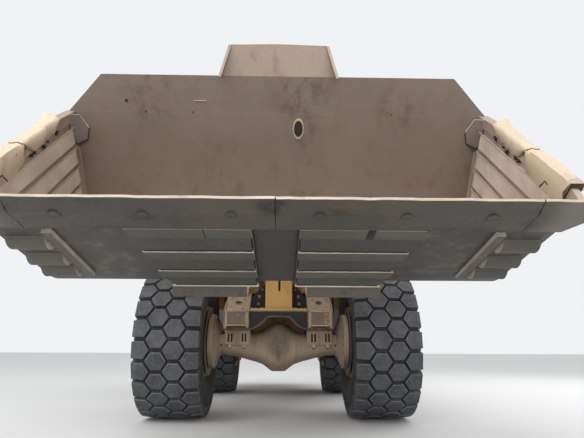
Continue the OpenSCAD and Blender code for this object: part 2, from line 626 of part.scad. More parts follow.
// Rear end of the tanks and ladders, ahead of the rear tyres
tank_rear = rear_f + tyre_r + 180;
module tanks() color(dark) for (s = [-1, 1]) plan(900, deck_z - 35)
    polygon([for (p = [[850, -2120], [900, -2080], [1290, -2080], [1340, -2130], [1340, tank_rear], [850, tank_rear]])
        [s * p[0], p[1]]]);
module platforms() color(paint) {
    blocks([-4700, -2050], [745, deck_w / 2], [deck_z - 35, deck_z]);
    // Outer lips of the deck
    blocks([-4700, -2820], [deck_w / 2 - 14, deck_w / 2], [deck_z - 160, deck_z - 30]);
    // Brackets to the frame, ahead of and behind the rear tyres
    for (f = [tank_rear - 60, -4700]) for (s = [-1, 1]) translate([0, mid_f - f, 0]) rotate([90, 0, 0])
        linear_extrude(40) polygon([for (p = [[480, 1250], [480, frame_z - 10], [hood_x + 2, frame_z - 10],
            [hood_x + 20, deck_z - 30], [1400, deck_z - 30], [1400, 1820], [760, 1300], [700, 1250]])
            [s * p[0], p[1]]]);
}
module ladders() color(dark) for (s = [-1, 1]) {
    for (f = [-2110, tank_rear + 10]) block([f - 20, f + 20], [s * 1445 - 40, s * 1445 + 40], [430, deck_z - 35]);
    for (z = [440, 800, 1160, 1520]) block([tank_rear + 10, -2110], [s * 1445 - 60, s * 1445 + 60], [z, z + 30]);
}
module handrails() color(paint) for (s = [-1, 1]) {
    for (f = [-3060, -3850, -4640]) post(f, s * (deck_w / 2 - 50), 20, deck_z, 2960);
    for (z = [2480, 2960]) translate([s * (deck_w / 2 - 50), mid_f + 3040, z]) rotate([-90, 0, 0]) cylinder(r = 20, h = 1620);
}

// Hood, radiator and engine doors

module hood() color(paint) difference() {
    translate([0, mid_f - hood_front, 0]) rotate([90, 0, 0]) mirror([0, 0, 1])
        linear_extrude(hood_front - hood_rear) difference() {
            polygon([[-hood_x, frame_z], [-hood_x, hood_z - 110], [-hood_x + 110, hood_z], [hood_x - 110, hood_z],
                [hood_x, hood_z - 110], [hood_x, frame_z]]);
            polygon([[-hood_x + 30, frame_z - 10], [-hood_x + 30, hood_z - 122], [-hood_x + 122, hood_z - 30],
                [hood_x - 122, hood_z - 30], [hood_x - 30, hood_z - 122], [hood_x - 30, frame_z - 10]]);
        }
    // Doorways of the engine doors
    block([-4900, -3800], [-900, 900], [2000, 2440]);
}
// Doors hang from their top edges
module engine_door(s) mirror([s < 0 ? 1 : 0, 0, 0]) {
    difference() {
        block([-4895, -3805], [hood_x - 30, hood_x], [2005, 2435]);
        for (i = [0 : slot_n - 1]) block([-3960 - i * 95, -3910 - i * 95], [hood_x - 60, hood_x + 60], [2090, 2350]);
    }
    for (f = [-4000, -4800]) {
        translate([engine_axis[0], mid_f - f, engine_axis[1]]) rotate([90, 0, 0]) cylinder(r = knuckle_r, h = 100);
        block([f, f + 100], [hood_x - 5, hood_x + 8], [2390, 2435]);
        block([f, f + 100], [hood_x + 0.3, hood_x + 8], [2430, 2446]);
    }
}
module engine_door_l() color(paint) engine_door(1);
module engine_door_r() color(paint) engine_door(-1);
module stacks() color(dark) {
    post(-3650, -380, 65, hood_z, 3250);
    post(-3650, -380, 85, hood_z, 2950);
    post(-3650, 380, 90, hood_z, 2800);
    post(-3650, 380, 160, 2800, 3050);
}
module radiator_guard() color(paint) {
    difference() {
        block([guard_rear, hood_rear - 0.3], [-hood_x, hood_x], [frame_z, hood_z - 30]);
        block([guard_rear - 10, -5420], [-hood_x + 60, hood_x - 60], [frame_z + 60, hood_z - 100]);
    }
}
module grille_door() color(dark) {
    difference() {
        block([-5860, guard_rear - 5], [-hood_x + 5, hood_x - 5], [frame_z + 10, hood_z - 40]);
        block([-5900, -5780], [-hood_x + 85, hood_x - 85], [frame_z + 90, hood_z - 120]);
    }
    for (i = [0 : slat_n - 1]) block([-5850, -5820], [-hood_x + 80, hood_x - 80],
        [frame_z + 110 + i * (hood_z - frame_z - 260) / slat_n,
        frame_z + 150 + i * (hood_z - frame_z - 260) / slat_n]);
    blocks([-5850, -5820], [200, 230], [frame_z + 80, hood_z - 110]);
    // Hinge knuckles against the guard
    for (z = [frame_z + 120, hood_z - 250]) {
        post(grille_axis[0], grille_axis[1], knuckle_r, z, z + 110);
        block([-5830, guard_rear - 10], [-hood_x + 4, -hood_x + 30], [z, z + 110]);
    }
}

// Cab

module cab_shell() color(paint) {
    difference() {
        union() {
            block([cab_rear, cab_front], [-cab_x, cab_x], [deck_z, 3560]);
            // Cab base on the rear frame
            block([-3380, -2640.3], [-600, 600], [frame_z, deck_z]);
        }
        block([cab_rear + wall_t, cab_front - wall_t], [-cab_x + wall_t, cab_x - wall_t], [deck_z + 40, 3600]);
        // Windscreen, rear window, side windows and the doorway
        block([cab_front - 100, cab_front + 10], [-cab_x + 80, cab_x - 80], [2330, 3470]);
        block([cab_rear - 10, cab_rear + 100], [-cab_x + 130, cab_x - 130], [2680, 3470]);
        block([-2900, -2080], [-900, -700], [2400, 3470]);
        block([-3320, -2980], [-900, 900], [2500, 3470]);
        block([-2900, -2080], [700, 900], [door_z[0] - 5, door_z[1] + 5]);
        block([-3300, -2700], [-520, 520], [frame_z - 10, deck_z - 30]);
    }
}
module cab_roof() color(paint) {
    plan(3560, roof_z - 50) polygon([[-cab_x - 30, -2000], [-cab_x + 60, -1930], [cab_x - 60, -1930],
        [cab_x + 30, -2000], [cab_x + 30, -3420], [cab_x - 40, -3470], [-cab_x + 40, -3470],
        [-cab_x - 30, -3420]]);
    plan(roof_z - 50, roof_z) polygon([[-cab_x + 30, -2060], [cab_x - 30, -2060], [cab_x - 30, -3380],
        [-cab_x + 30, -3380]]);
}
module cab_glass() color("lightblue", 0.4) {
    block([cab_front - 30, cab_front - 22], [-cab_x + 80, cab_x - 80], [2330, 3470]);
    block([cab_rear + 22, cab_rear + 30], [-cab_x + 130, cab_x - 130], [2680, 3470]);
    block([-2900, -2080], [-cab_x + 22, -cab_x + 30], [2400, 3470]);
    blocks([-3320, -2980], [cab_x - 30, cab_x - 22], [2500, 3470]);
}
module cab_door() color(paint) {
    difference() {
        block([door_rear, door_front], [cab_x - wall_t, cab_x], door_z);
        block([door_rear + 70, door_front - 70], [cab_x - 100, cab_x + 50], [2200, 3420]);
    }
    for (z = [2120, 3260]) {
        post(cab_axis[0], cab_axis[1], knuckle_r, z, z + 120);
        block([door_rear, door_rear + 60], [cab_x - 5, cab_x + 8], [z, z + 120]);
    }
}
module door_glass() color("lightblue", 0.4)
    block([door_rear + 70, door_front - 70], [cab_x - 30, cab_x - 22], [2200, 3420]);
module seat() color(dark) {
    block([-3020, -2560], [-230, 230], [2330, 2470]);
    slab(-220, 440) polygon([[-2920, 2470], [-3020, 2470], [-3150, 3100], [-3060, 3110]]);
    block([-2950, -2650], [-150, 150], [deck_z + 40, 2330]);
    blocks([-2950, -2600], [270, 350], [2560, 2620]);
    blocks([-2990, -2900], [229, 351], [2400, 2561]);
}
module console() color(dark) {
    slab(-60, 120) polygon([[-2150, deck_z + 40], [-2260, deck_z + 40], [-2330, 2600], [-2280, 2620]]);
    plane() translate([-2310, 2620, 0]) rotate([0, 0, 115]) rotate([0, 90, 0]) rotate_extrude()
        translate([190, 0]) circle(r = 16, $fn = 16);
    plane() translate([-2310, 2620, 0]) rotate([0, 0, 115]) translate([-30, -182, -20]) cube([45, 364, 40]);
}

rear_frame();
rear_axle();
gearbox();
engine();
counterweight();
tanks();
platforms();
ladders();
handrails();
hood();
stacks();
radiator_guard();
grille_door();
engine_door_l();
engine_door_r();
cab_shell();
cab_roof();
cab_glass();
cab_door();
door_glass();
seat();
console();
front_frame();
front_axle();
front_fenders();
headlamps();
lift_arm();
lever();
link();
tilt_barrel();
tilt_rod();
lift_barrels();
lift_rods();
bucket_shell();
bucket_wear();
cutting_edge();
spill_guard();
steer_barrel_l();
steer_rod_l();
steer_barrel_r();
steer_rod_r();
tyre_fl();
tyre_fr();
tyre_rl();
tyre_rr();
rim_fl();
rim_fr();
rim_rl();
rim_rr();
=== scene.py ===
"""Dresses the wheel loader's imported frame: finishes for every node, tyres, fittings and the stage."""

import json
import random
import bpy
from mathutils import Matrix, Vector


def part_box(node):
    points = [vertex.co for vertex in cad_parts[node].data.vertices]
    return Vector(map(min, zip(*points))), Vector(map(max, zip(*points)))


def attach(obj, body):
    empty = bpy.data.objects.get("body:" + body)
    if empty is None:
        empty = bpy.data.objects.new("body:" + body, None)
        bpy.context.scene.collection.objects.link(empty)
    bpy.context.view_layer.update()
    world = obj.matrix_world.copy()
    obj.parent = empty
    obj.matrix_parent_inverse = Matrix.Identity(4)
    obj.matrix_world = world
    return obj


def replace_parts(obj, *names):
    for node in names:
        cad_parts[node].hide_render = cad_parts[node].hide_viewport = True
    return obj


bl_info = {
    "name": "Wheel Loader Dressing",
    "version": (1, 0, 0),
    "blender": (4, 5, 0),
    "location": "View3D > Sidebar > Loader",
    "description": "Adds tyres, wear parts, fittings and dusty finishes to the loader's frame",
    "category": "Object",
}

from math import atan2, copysign, cos, pi, radians, sin, tau

import bmesh
import bpy
from bpy.props import FloatProperty, FloatVectorProperty, IntProperty, PointerProperty
from mathutils import Matrix, Vector

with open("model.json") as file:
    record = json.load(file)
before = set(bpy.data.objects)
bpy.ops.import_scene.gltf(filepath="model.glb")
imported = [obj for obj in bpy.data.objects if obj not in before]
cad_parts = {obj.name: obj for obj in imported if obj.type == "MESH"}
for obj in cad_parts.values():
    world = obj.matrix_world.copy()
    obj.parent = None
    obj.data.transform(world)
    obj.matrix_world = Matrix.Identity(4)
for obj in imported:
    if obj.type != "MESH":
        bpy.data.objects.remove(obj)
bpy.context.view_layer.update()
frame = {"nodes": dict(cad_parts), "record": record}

# Lengths are in metres; places are given forward of the front axle, across and up
# Middle of the machine's length
MID_F = -1.075
WHEELBASE = 3.7
AXLE_Z = 0.9
# Bucket: slopes of its floor and back, tip and shoulder of its side plates, plate and edge
FLOOR_SLOPE = radians(11.4)
BACK_SLOPE = radians(53.2)
TIP = (3.85, 1.55)
HEEL_R = 0.43
FLOOR_LEN = 1.2
EDGE_LEN = 0.3
EDGE_T = 0.05
BUCKET_X = 1.66
SHELL_T = 0.028
SHOULDER = (2.697, 2.655)
MOUTH_SLOPE = atan2(-1.016, 1.038)
BUCKET_HINGE = (1.91, 1.61)
# Outer faces of the hood and the tanks
HOOD_X = 0.7205
TANK_X = 1.3405


# Places


def spot(f, x, z):
    """A point given forward of the front axle, across and up."""
    return Vector((x, MID_F - f, z))


def placed(f, x, z):
    return Matrix.Translation(spot(f, x, z))


def axes(origin, x_axis, z_axis):
    """A matrix at a point with its X and Z along two directions."""
    z = Vector(z_axis).normalized()
    y = z.cross(Vector(x_axis)).normalized()
    x = y.cross(z)
    return Matrix.Translation(origin) @ Matrix((x, y, z)).transposed().to_4x4()


def heel_centre():
    f = TIP[0] - FLOOR_LEN * cos(FLOOR_SLOPE) - HEEL_R * sin(FLOOR_SLOPE)
    z = TIP[1] - FLOOR_LEN * sin(FLOOR_SLOPE) + HEEL_R * cos(FLOOR_SLOPE)
    return f, z


def skin_at(s, n, x):
    """On the bucket's floor and round its heel, s behind the tip and n above the underside.

    X is across and Y forward along the skin; Z points down and out."""
    if s <= FLOOR_LEN:
        angle = FLOOR_SLOPE
        f = TIP[0] - s * cos(angle) - n * sin(angle)
        z = TIP[1] - s * sin(angle) + n * cos(angle)
    else:
        angle = FLOOR_SLOPE - (s - FLOOR_LEN) / HEEL_R
        f, z = heel_centre()
        f -= (n - HEEL_R) * sin(angle)
        z += (n - HEEL_R) * cos(angle)
    return axes(spot(f, x, z), (1, 0, 0), (0, -sin(angle), -cos(angle)))


def side_at(f, z, x, angle=0.0):
    """In the side plane: X forward along a slope, Y up, Z towards the machine's right."""
    return axes(spot(f, x, z), (0, -cos(angle), sin(angle)), (-1, 0, 0))


def front_at(f, x=0.0, z=0.0):
    """In a plane that faces forward: X across, Y up, Z forward."""
    return axes(spot(f, x, z), (1, 0, 0), (0, -1, 0))


def rear_at(f, x, z):
    """In a plane that faces back: X across, Y up, Z back."""
    return axes(spot(f, x, z), (-1, 0, 0), (0, 1, 0))


def flank_at(f, x, z, side):
    """In a plane that faces sideways: X back, Z out on the given side."""
    return axes(spot(f, x, z), (0, 1, 0), (side, 0, 0))


def mouth_point(side, along, out, high):
    """Beside the mouth of the bucket: along it from the shoulder, out from the middle, high above it."""
    c, s = cos(MOUTH_SLOPE), sin(MOUTH_SLOPE)
    return spot(SHOULDER[0] + along * c - high * s, side * out, SHOULDER[1] + along * s + high * c)


def back_at(l, d, x):
    """On the bucket's back plate, l above the heel and d inside its outer face.

    X is across, Y up the slope, Z into the bucket."""
    f, z = heel_centre()
    f += -HEEL_R * sin(BACK_SLOPE) + l * cos(BACK_SLOPE) + d * sin(BACK_SLOPE)
    z += HEEL_R * cos(BACK_SLOPE) + l * sin(BACK_SLOPE) - d * cos(BACK_SLOPE)
    return axes(spot(f, x, z), (1, 0, 0), (0, -sin(BACK_SLOPE), -cos(BACK_SLOPE)))


def facing(point, direction):
    """Local Z along a direction, at a point."""
    z = Vector(direction).normalized()
    return axes(point, (1, 0, 0) if abs(z.x) < 0.9 else (0, 1, 0), z)


def line_at(x, points):
    """Points of a side plane, given forward and up, at a distance across."""
    return [spot(f, x, z) for f, z in points]


def line_on(side, points):
    """Points given forward, across and up, on one side of the machine."""
    return [spot(f, side * x, z) for f, x, z in points]


# Shapes


def line_in(place, points):
    """Points given in a place's own directions."""
    return [place @ Vector(point) for point in points]


def move(x, y, z):
    return Matrix.Translation((x, y, z))


def turned(angle, axis="Z"):
    return Matrix.Rotation(angle, 4, axis)


def edges_of(verts):
    return list({edge: None for vert in verts for edge in vert.link_edges})


def faces_of(verts):
    return list({face: None for vert in verts for face in vert.link_faces})


def verts_in(geometry):
    return [item for item in geometry if isinstance(item, bmesh.types.BMVert)]


class Shape:
    """Collects bmesh shapes of one piece, each with its own material number."""

    def __init__(self):
        self.bm = bmesh.new()

    def mark(self, verts, material, smooth=True):
        for face in faces_of(verts):
            face.material_index = material
            face.smooth = smooth

    def bevelled(self, edges, width, segments=2):
        return bmesh.ops.bevel(self.bm, geom=edges, offset=width, segments=segments, affect="EDGES", profile=0.5,
            material=-1)["verts"]

    def block(self, at, size, bevel=0.0, material=0, segments=2):
        made = bmesh.ops.create_cube(self.bm, size=1.0)["verts"]
        bmesh.ops.scale(self.bm, vec=size, verts=made)
        if bevel:
            made = self.bevelled(edges_of(made), bevel, segments)
        self.mark(made, material)
        bmesh.ops.transform(self.bm, matrix=at, verts=made)
        return made

    def disc(self, at, radius, height, sides=24, top=None, bevel=0.0, material=0):
        """A cylinder or cone that stands on local Z from the place."""
        made = bmesh.ops.create_cone(self.bm, cap_ends=True, segments=sides, radius1=radius,
            radius2=radius if top is None else top, depth=height)["verts"]
        if bevel:
            self.bevelled([edge for edge in edges_of(made) if all(vert.co.z > 0 for vert in edge.verts)], bevel)
            made = self.linked(made)
        self.mark(made, material)
        bmesh.ops.transform(self.bm, matrix=at @ move(0, 0, height / 2), verts=made)
        return made

    @staticmethod
    def linked(made):
        """All verts that hang together with the first valid one."""
        start = next(vert for vert in made if vert.is_valid)
        seen, todo = {start: None}, [start]
        while todo:
            for edge in todo.pop().link_edges:
                for vert in edge.verts:
                    if vert not in seen:
                        seen[vert] = None
                        todo.append(vert)
        return list(seen)

    def bolt(self, at, radius, height, washer=True, material=1):
        if washer:
            self.disc(at, radius * 1.5, radius * 0.25, sides=16, material=material)
        self.disc(at @ move(0, 0, radius * 0.2), radius, height, sides=6, top=radius * 0.96, bevel=radius * 0.12,
            material=material)

    def bolts(self, at, count, ring, high, radius, height, washer=True, material=1, shift=0.0):
        """Bolts evenly spaced in a ring round local Z."""
        for k in range(count):
            turn = at @ turned(tau * (k + shift) / count)
            self.bolt(turn @ move(ring, 0, high), radius, height, washer, material)

    def plate(self, at, outline, thick, bevel=0.0, material=0):
        """An outline in local X and Y, thickened along local Z."""
        verts = [self.bm.verts.new((x, y, 0)) for x, y in outline]
        face = self.bm.faces.new(verts)
        face.normal_update()
        if face.normal.z > 0:
            face.normal_flip()
        grown = bmesh.ops.extrude_face_region(self.bm, geom=[face])
        top = verts_in(grown["geom"])
        bmesh.ops.translate(self.bm, vec=(0, 0, thick), verts=top)
        made = verts + top
        bmesh.ops.recalc_face_normals(self.bm, faces=faces_of(made))
        if bevel:
            self.bevelled([edge for edge in edges_of(top) if all(vert in top for vert in edge.verts)], bevel)
            made = self.linked(verts)
        self.mark(made, material, False)
        bmesh.ops.transform(self.bm, matrix=at, verts=made)
        return made

    def spun(self, at, profile, steps=48, material=0):
        """Turns a profile of (radius, height) points about local Z."""
        verts = [self.bm.verts.new((r, 0, z)) for r, z in profile]
        edges = [self.bm.edges.new((a, b)) for a, b in zip(verts, verts[1:])]
        bmesh.ops.spin(self.bm, geom=verts + edges, cent=(0, 0, 0), axis=(0, 0, 1), angle=tau, steps=steps,
            use_merge=True, use_duplicate=False)
        made = self.linked(verts)
        bmesh.ops.remove_doubles(self.bm, verts=made, dist=1e-5)
        made = [vert for vert in made if vert.is_valid]
        bmesh.ops.recalc_face_normals(self.bm, faces=faces_of(made))
        self.mark(made, material)
        bmesh.ops.transform(self.bm, matrix=at, verts=made)
        return made

    def loft(self, rings, material=0, smooth=True):
        """Bridges closed rings of points and closes both ends."""
        loops = []
        for points in rings:
            verts = [self.bm.verts.new(point) for point in points]
            loops.append((verts, [self.bm.edges.new(pair) for pair in zip(verts, verts[1:] + verts[:1])]))
        for (_, a), (_, b) in zip(loops, loops[1:]):
            bmesh.ops.bridge_loops(self.bm, edges=a + b)
        for verts, _ in (loops[0], loops[-1]):
            bmesh.ops.contextual_create(self.bm, geom=verts)
        made = [vert for verts, _ in loops for vert in verts]
        bmesh.ops.recalc_face_normals(self.bm, faces=faces_of(made))
        self.mark(made, material, smooth)
        return made

    def pipe(self, points, radius, sides=10, material=0):
        """A round bar through points, with a mitre at each bend."""
        points = [Vector(point) for point in points]
        rings = []
        guide = None
        for i, point in enumerate(points):
            ahead = (points[min(i + 1, len(points) - 1)] - point)
            behind = (point - points[max(i - 1, 0)])
            way = (ahead.normalized() + behind.normalized()).normalized()
            if guide is None:
                guide = self.upright(point, way).col[0].to_3d()
            side = (guide - way * guide.dot(way)).normalized()
            guide, other = side, way.cross(side)
            rings.append([point + (side * cos(a) + other * sin(a)) * radius
                for a in (tau * k / sides for k in range(sides))])
        return self.loft(rings, material)

    def strip(self, places, wide, thick, material=0):
        """A flat band through places; wide gives its two edges at each place."""
        rings = []
        for i, place in enumerate(places):
            low, high = wide(i) if callable(wide) else wide
            rings.append(line_in(place, ((low, 0, 0), (high, 0, 0), (high, 0, thick), (low, 0, thick))))
        return self.loft(rings, material, False)

    def cut(self, made, point, way, clear=True):
        """Cuts across a piece; what lies beyond the plane goes, and the cut is closed."""
        geometry = list(made) + edges_of(made) + faces_of(made)
        edges = [item for item in bmesh.ops.bisect_plane(self.bm, geom=geometry, plane_co=point, plane_no=way,
            clear_outer=clear)["geom_cut"] if isinstance(item, bmesh.types.BMEdge)]
        if clear:
            bmesh.ops.contextual_create(self.bm, geom=edges)
        return self.linked([vert for edge in edges for vert in edge.verts])

    @staticmethod
    def upright(point, way):
        z = way.normalized()
        guide = Vector((0.31, 0.05, 0.95)) if abs(z.z) < 0.9 else Vector((1, 0.02, 0.01))
        return axes(point, guide.cross(z), z)

    def bead(self, start, end, radius, material=0):
        """A weld bead between two points or places, in short lapped scales."""
        start, end = (p.translation if isinstance(p, Matrix) else Vector(p) for p in (start, end))
        way = end - start
        steps = max(2, int(way.length / (radius * 2.2)))
        turn = self.upright(start, way)
        for i in range(steps):
            made = bmesh.ops.create_icosphere(self.bm, subdivisions=1, radius=radius)["verts"]
            bmesh.ops.scale(self.bm, vec=(0.85, 0.85, 1.5), verts=made)
            self.mark(made, material)
            place = turn.copy()
            place.translation = start + way * ((i + 0.5) / steps)
            bmesh.ops.transform(self.bm, matrix=place, verts=made)

    def finish(self, name, body, materials, crease=0.6, soften=0.0):
        for edge in self.bm.edges:
            if len(edge.link_faces) == 2 and edge.calc_face_angle(0.0) > crease:
                edge.smooth = False
        mesh = bpy.data.meshes.new(name)
        self.bm.to_mesh(mesh)
        self.bm.free()
        for key in materials.split():
            mesh.materials.append(MATERIALS[key])
        piece = bpy.data.objects.new(name, mesh)
        bpy.context.scene.collection.objects.link(piece)
        if soften:
            bevel = piece.modifiers.new("softened_edges", "BEVEL")
            bevel.width, bevel.segments, bevel.limit_method = soften, 2, "ANGLE"
            bevel.angle_limit = radians(40)
        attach(piece, body)
        return piece


# Finishes


def linear(code):
    """A screen colour, written as six hex digits, in linear values."""
    shares = (int(code[i:i + 2], 16) / 255 for i in (1, 3, 5))
    return tuple(((share + 0.055) / 1.055) ** 2.4 for share in shares)


class Finish:
    """Wires the nodes of one material."""

    def __init__(self, name):
        self.material = bpy.data.materials.new(name)
        self.material.use_nodes = True
        self.tree = self.material.node_tree
        self.tree.nodes.clear()
        output = self.tree.nodes.new("ShaderNodeOutputMaterial")
        self.shader = self.tree.nodes.new("ShaderNodeBsdfPrincipled")
        self.tree.links.new(self.shader.outputs[0], output.inputs[0])
        self.coords = self.tree.nodes.new("ShaderNodeTexCoord")
        self.seed = sum(ord(letter) for letter in name) % 97
        self.count = 0

    def put(self, kind, sockets=(), **settings):
        node = self.tree.nodes.new(kind)
        for key, value in settings.items():
            setattr(node, key, value)
        for key, value in dict(sockets).items():
            self.feed(node.inputs[key], value)
        return node

    def feed(self, socket, value):
        if isinstance(value, str):
            value = linear(value)
        if isinstance(value, bpy.types.NodeSocket):
            self.tree.links.new(value, socket)
        elif hasattr(value, "__len__") and len(value) == 3 and socket.type == "RGBA":
            socket.default_value = (*value, 1.0)
        else:
            socket.default_value = value

    def noise(self, scale, detail=4.0, rough=0.55, stretch=(1, 1, 1)):
        self.count += 1
        shift = (self.seed * 1.7 + self.count * 3.1, self.seed * 0.9, self.count * 5.3)
        place = self.put("ShaderNodeMapping", {"Vector": self.coords.outputs["Object"], "Location": shift,
            "Scale": stretch})
        return self.put("ShaderNodeTexNoise", {"Vector": place.outputs[0], "Scale": scale, "Detail": detail,
            "Roughness": rough}).outputs[0]

    def band(self, value, low, high, to_low=0.0, to_high=1.0):
        return self.put("ShaderNodeMapRange", {"Value": value, "From Min": low, "From Max": high, "To Min": to_low,
            "To Max": to_high}, interpolation_type="SMOOTHSTEP").outputs[0]

    def times(self, a, b):
        return self.sum("MULTIPLY", a, b)

    def plus(self, a, b):
        return self.sum("ADD", a, b)

    def sum(self, operation, a, b):
        return self.put("ShaderNodeMath", {0: a, 1: b}, operation=operation).outputs[0]

    def blend(self, factor, a, b):
        node = self.put("ShaderNodeMix", data_type="RGBA")
        for socket, value in ((0, factor), (6, a), (7, b)):
            self.feed(node.inputs[socket], value)
        return node.outputs[2]

    def split(self, which):
        return self.put("ShaderNodeSeparateXYZ", {0: self.coords.outputs[which]}).outputs

    def spot(self, centre, reach, squash=(1, 1, 1)):
        """1 at a point, falling to 0 at a distance."""
        place = self.put("ShaderNodeMapping",
            {"Vector": self.coords.outputs["Object"], "Location": tuple(-c * s for c, s in zip(centre, squash)),
            "Scale": squash})
        length = self.put("ShaderNodeVectorMath", {0: place.outputs[0]}, operation="LENGTH").outputs[1]
        return self.band(length, reach, reach * 0.25)

    def done(self, colour, rough, height=None, depth=0.002, metal=0.0, **extra):
        for key, value in {"Base Color": colour, "Roughness": rough, "Metallic": metal, **extra}.items():
            self.feed(self.shader.inputs[key], value)
        if height is not None:
            bump = self.put("ShaderNodeBump", {"Height": height, "Distance": depth, "Strength": 1.0})
            self.tree.links.new(bump.outputs[0], self.shader.inputs["Normal"])
        return self.material


def dusty_coat(name, paint, faded, dust, bare, rust, grime, film, settle, chips, stains, zone=None):
    """Paint that has faded, chipped to metal, rusted and gathered dust on what faces up."""
    f = Finish(name)
    normal = f.split("Normal")
    broad = f.noise(0.8, 5)
    mottle = f.noise(6.0, 8, 0.65)
    fine = f.noise(55.0, 6, 0.7)
    streak = f.noise(5.5, 6, 0.6, stretch=(1.6, 1.6, 0.16))
    colour = f.blend(f.band(broad, 0.35, 0.65), paint, faded)
    colour = f.blend(f.band(mottle, 0.4, 0.75, 0.0, 0.45), colour, faded)
    if zone:
        colour = zone(f, colour, normal)
    colour = f.blend(f.times(f.band(streak, 0.5, 0.74), stains), colour, grime)
    patch = f.plus(f.times(f.noise(3.2, 9, 0.72), 0.72), f.times(fine, 0.28))
    rusty = f.band(patch, 0.66 - 0.12 * chips, 0.72 - 0.12 * chips)
    colour = f.blend(rusty, colour, rust)
    chip = f.band(f.noise(24.0, 6, 0.75), 0.70 - 0.1 * chips, 0.715 - 0.1 * chips)
    colour = f.blend(f.times(chip, 0.8), colour, bare)
    lying = f.times(f.band(normal[2], -0.1, 0.95), settle)
    cover = f.times(f.plus(lying, film), f.band(f.noise(2.6, 7, 0.6), 0.2, 0.62, 0.25, 1.0))
    colour = f.blend(cover, colour, dust)
    colour = f.blend(f.band(fine, 0.35, 0.7, 0.0, 0.16), colour, f.blend(0.5, colour, (0, 0, 0)))
    rough = f.band(f.plus(f.times(mottle, 0.4), cover), 0.2, 1.2, 0.5, 0.92)
    height = f.sum("SUBTRACT", f.plus(f.times(fine, 0.35), f.times(mottle, 0.6)), f.times(chip, 0.5))
    return f.done(colour, rough, height, 0.003)


def painted_underside_shade(dark):
    """Darkens what faces the ground, as painted shade."""
    def zone(f, colour, normal):
        return f.blend(f.band(normal[2], 0.15, -0.55), colour, dark)
    return zone


def nose_zone(f, colour, normal):
    """On the nose, covers that face up are bleached, fronts are scorched with paint left in patches, and what faces the
    ground is darkened as painted shade.
    """
    place = f.split("Object")
    ahead = f.band(place[1], MID_F - 0.12, MID_F - 0.2)
    up = f.times(ahead, f.band(normal[2], 0.55, 0.75))
    bleached = f.blend(f.band(f.noise(7.0, 7, 0.7), 0.4, 0.62), "#928882", "#b08e54")
    colour = f.blend(f.times(up, 0.9), colour, bleached)
    front = f.times(ahead, f.band(normal[1], -0.8, -0.95))
    scorched = f.blend(f.band(f.noise(9.0, 8, 0.75), 0.54, 0.6), "#5c4d44", "#a68246")
    colour = f.blend(f.times(front, 0.95), colour, scorched)
    # Painted shade on what faces the ground
    return f.blend(f.band(normal[2], 0.15, -0.55), colour, "#3c322a")


def scraped_steel(name, steel, dark, dust, cover, shine, mark=None, along=(0.6, 9.0, 9.0)):
    """Bare wear steel: fine scrapes along one way, dark hollows and dust."""
    f = Finish(name)
    normal = f.split("Normal")
    scrape = f.noise(16.0, 8, 0.7, stretch=along)
    broad = f.noise(1.4, 6)
    pits = f.noise(70.0, 4, 0.7)
    colour = f.blend(f.band(scrape, 0.3, 0.72), dark, steel)
    colour = f.blend(f.band(broad, 0.38, 0.7, 0.0, 0.7), colour, dust)
    colour = f.blend(f.band(f.noise(4.2, 9, 0.75), 0.55, 0.66, 0.0, 0.75), colour, dark)
    if mark:
        colour = mark(f, colour)
    lying = f.times(f.band(normal[2], 0.0, 1.0), cover)
    colour = f.blend(f.plus(lying, cover * 0.4), colour, dust)
    rough = f.band(f.plus(scrape, pits), 0.6, 1.4, 0.38, 0.8)
    metal = f.band(scrape, 0.35, 0.75, 0.1, shine)
    height = f.plus(f.times(scrape, 0.6), f.times(pits, 0.3))
    return f.done(colour, rough, height, 0.002, metal)


def tyre_rubber(name, rubber, dust, worn):
    """Rubber with dust in its grooves and a pale scuffed tread."""
    f = Finish(name)
    fine = f.noise(90.0, 6, 0.75)
    broad = f.noise(4.0, 6, 0.6)
    gravel = f.noise(28.0, 8, 0.8)
    colour = f.blend(f.band(broad, 0.35, 0.7), rubber, worn)
    colour = f.blend(f.band(gravel, 0.48, 0.7, 0.0, 0.6), colour, dust)
    colour = f.blend(f.band(fine, 0.55, 0.75, 0.0, 0.35), colour, dust)
    rough = f.band(fine, 0.3, 0.8, 0.72, 0.96)
    height = f.plus(f.times(gravel, 0.8), f.times(fine, 0.5))
    return f.done(colour, rough, height, 0.004)


def window_glass(name, tint, dust):
    f = Finish(name)
    film = f.band(f.noise(2.2, 8, 0.7), 0.4, 0.8, 0.02, 0.35)
    smear = f.band(f.noise(9.0, 5, 0.6, stretch=(1, 1, 0.3)), 0.5, 0.8, 0.0, 0.2)
    cover = f.plus(film, smear)
    colour = f.blend(cover, tint, dust)
    return f.done(colour, f.band(cover, 0.0, 0.5, 0.04, 0.6), None, 0.0, 0.0, Alpha=f.band(cover, 0, 0.5, 0.42, 0.75))


def plain_finish(name, tone, other, rough, scale, depth, metal, settle, dust):
    """A plain material with fine grain, slight tone changes and settled dust."""
    f = Finish(name)
    grain = f.noise(scale, 6, 0.7)
    broad = f.noise(2.5, 5)
    colour = f.blend(f.band(broad, 0.35, 0.7), tone, other)
    if settle:
        lying = f.band(f.split("Normal")[2], 0.0, 1.0, 0.12, settle)
        colour = f.blend(f.times(lying, f.band(f.noise(3.4, 7), 0.25, 0.6, 0.3, 1.0)), colour, dust)
    colour = f.blend(f.band(grain, 0.4, 0.8, 0.0, 0.25), colour, other)
    return f.done(colour, f.band(grain, 0.3, 0.7, rough - 0.1, min(1.0, rough + 0.1)), grain, depth, metal)


def lamp_lens(name, tone):
    f = Finish(name)
    rib = f.put("ShaderNodeTexWave", {"Vector": f.coords.outputs["Object"], "Scale": 26.0, "Distortion": 0.0},
        bands_direction="X").outputs[1]
    colour = f.blend(f.band(f.noise(30.0, 4), 0.4, 0.8, 0.0, 0.4), tone, "#96846c")
    return f.done(colour, f.band(rib, 0, 1, 0.12, 0.3), rib, 0.002)


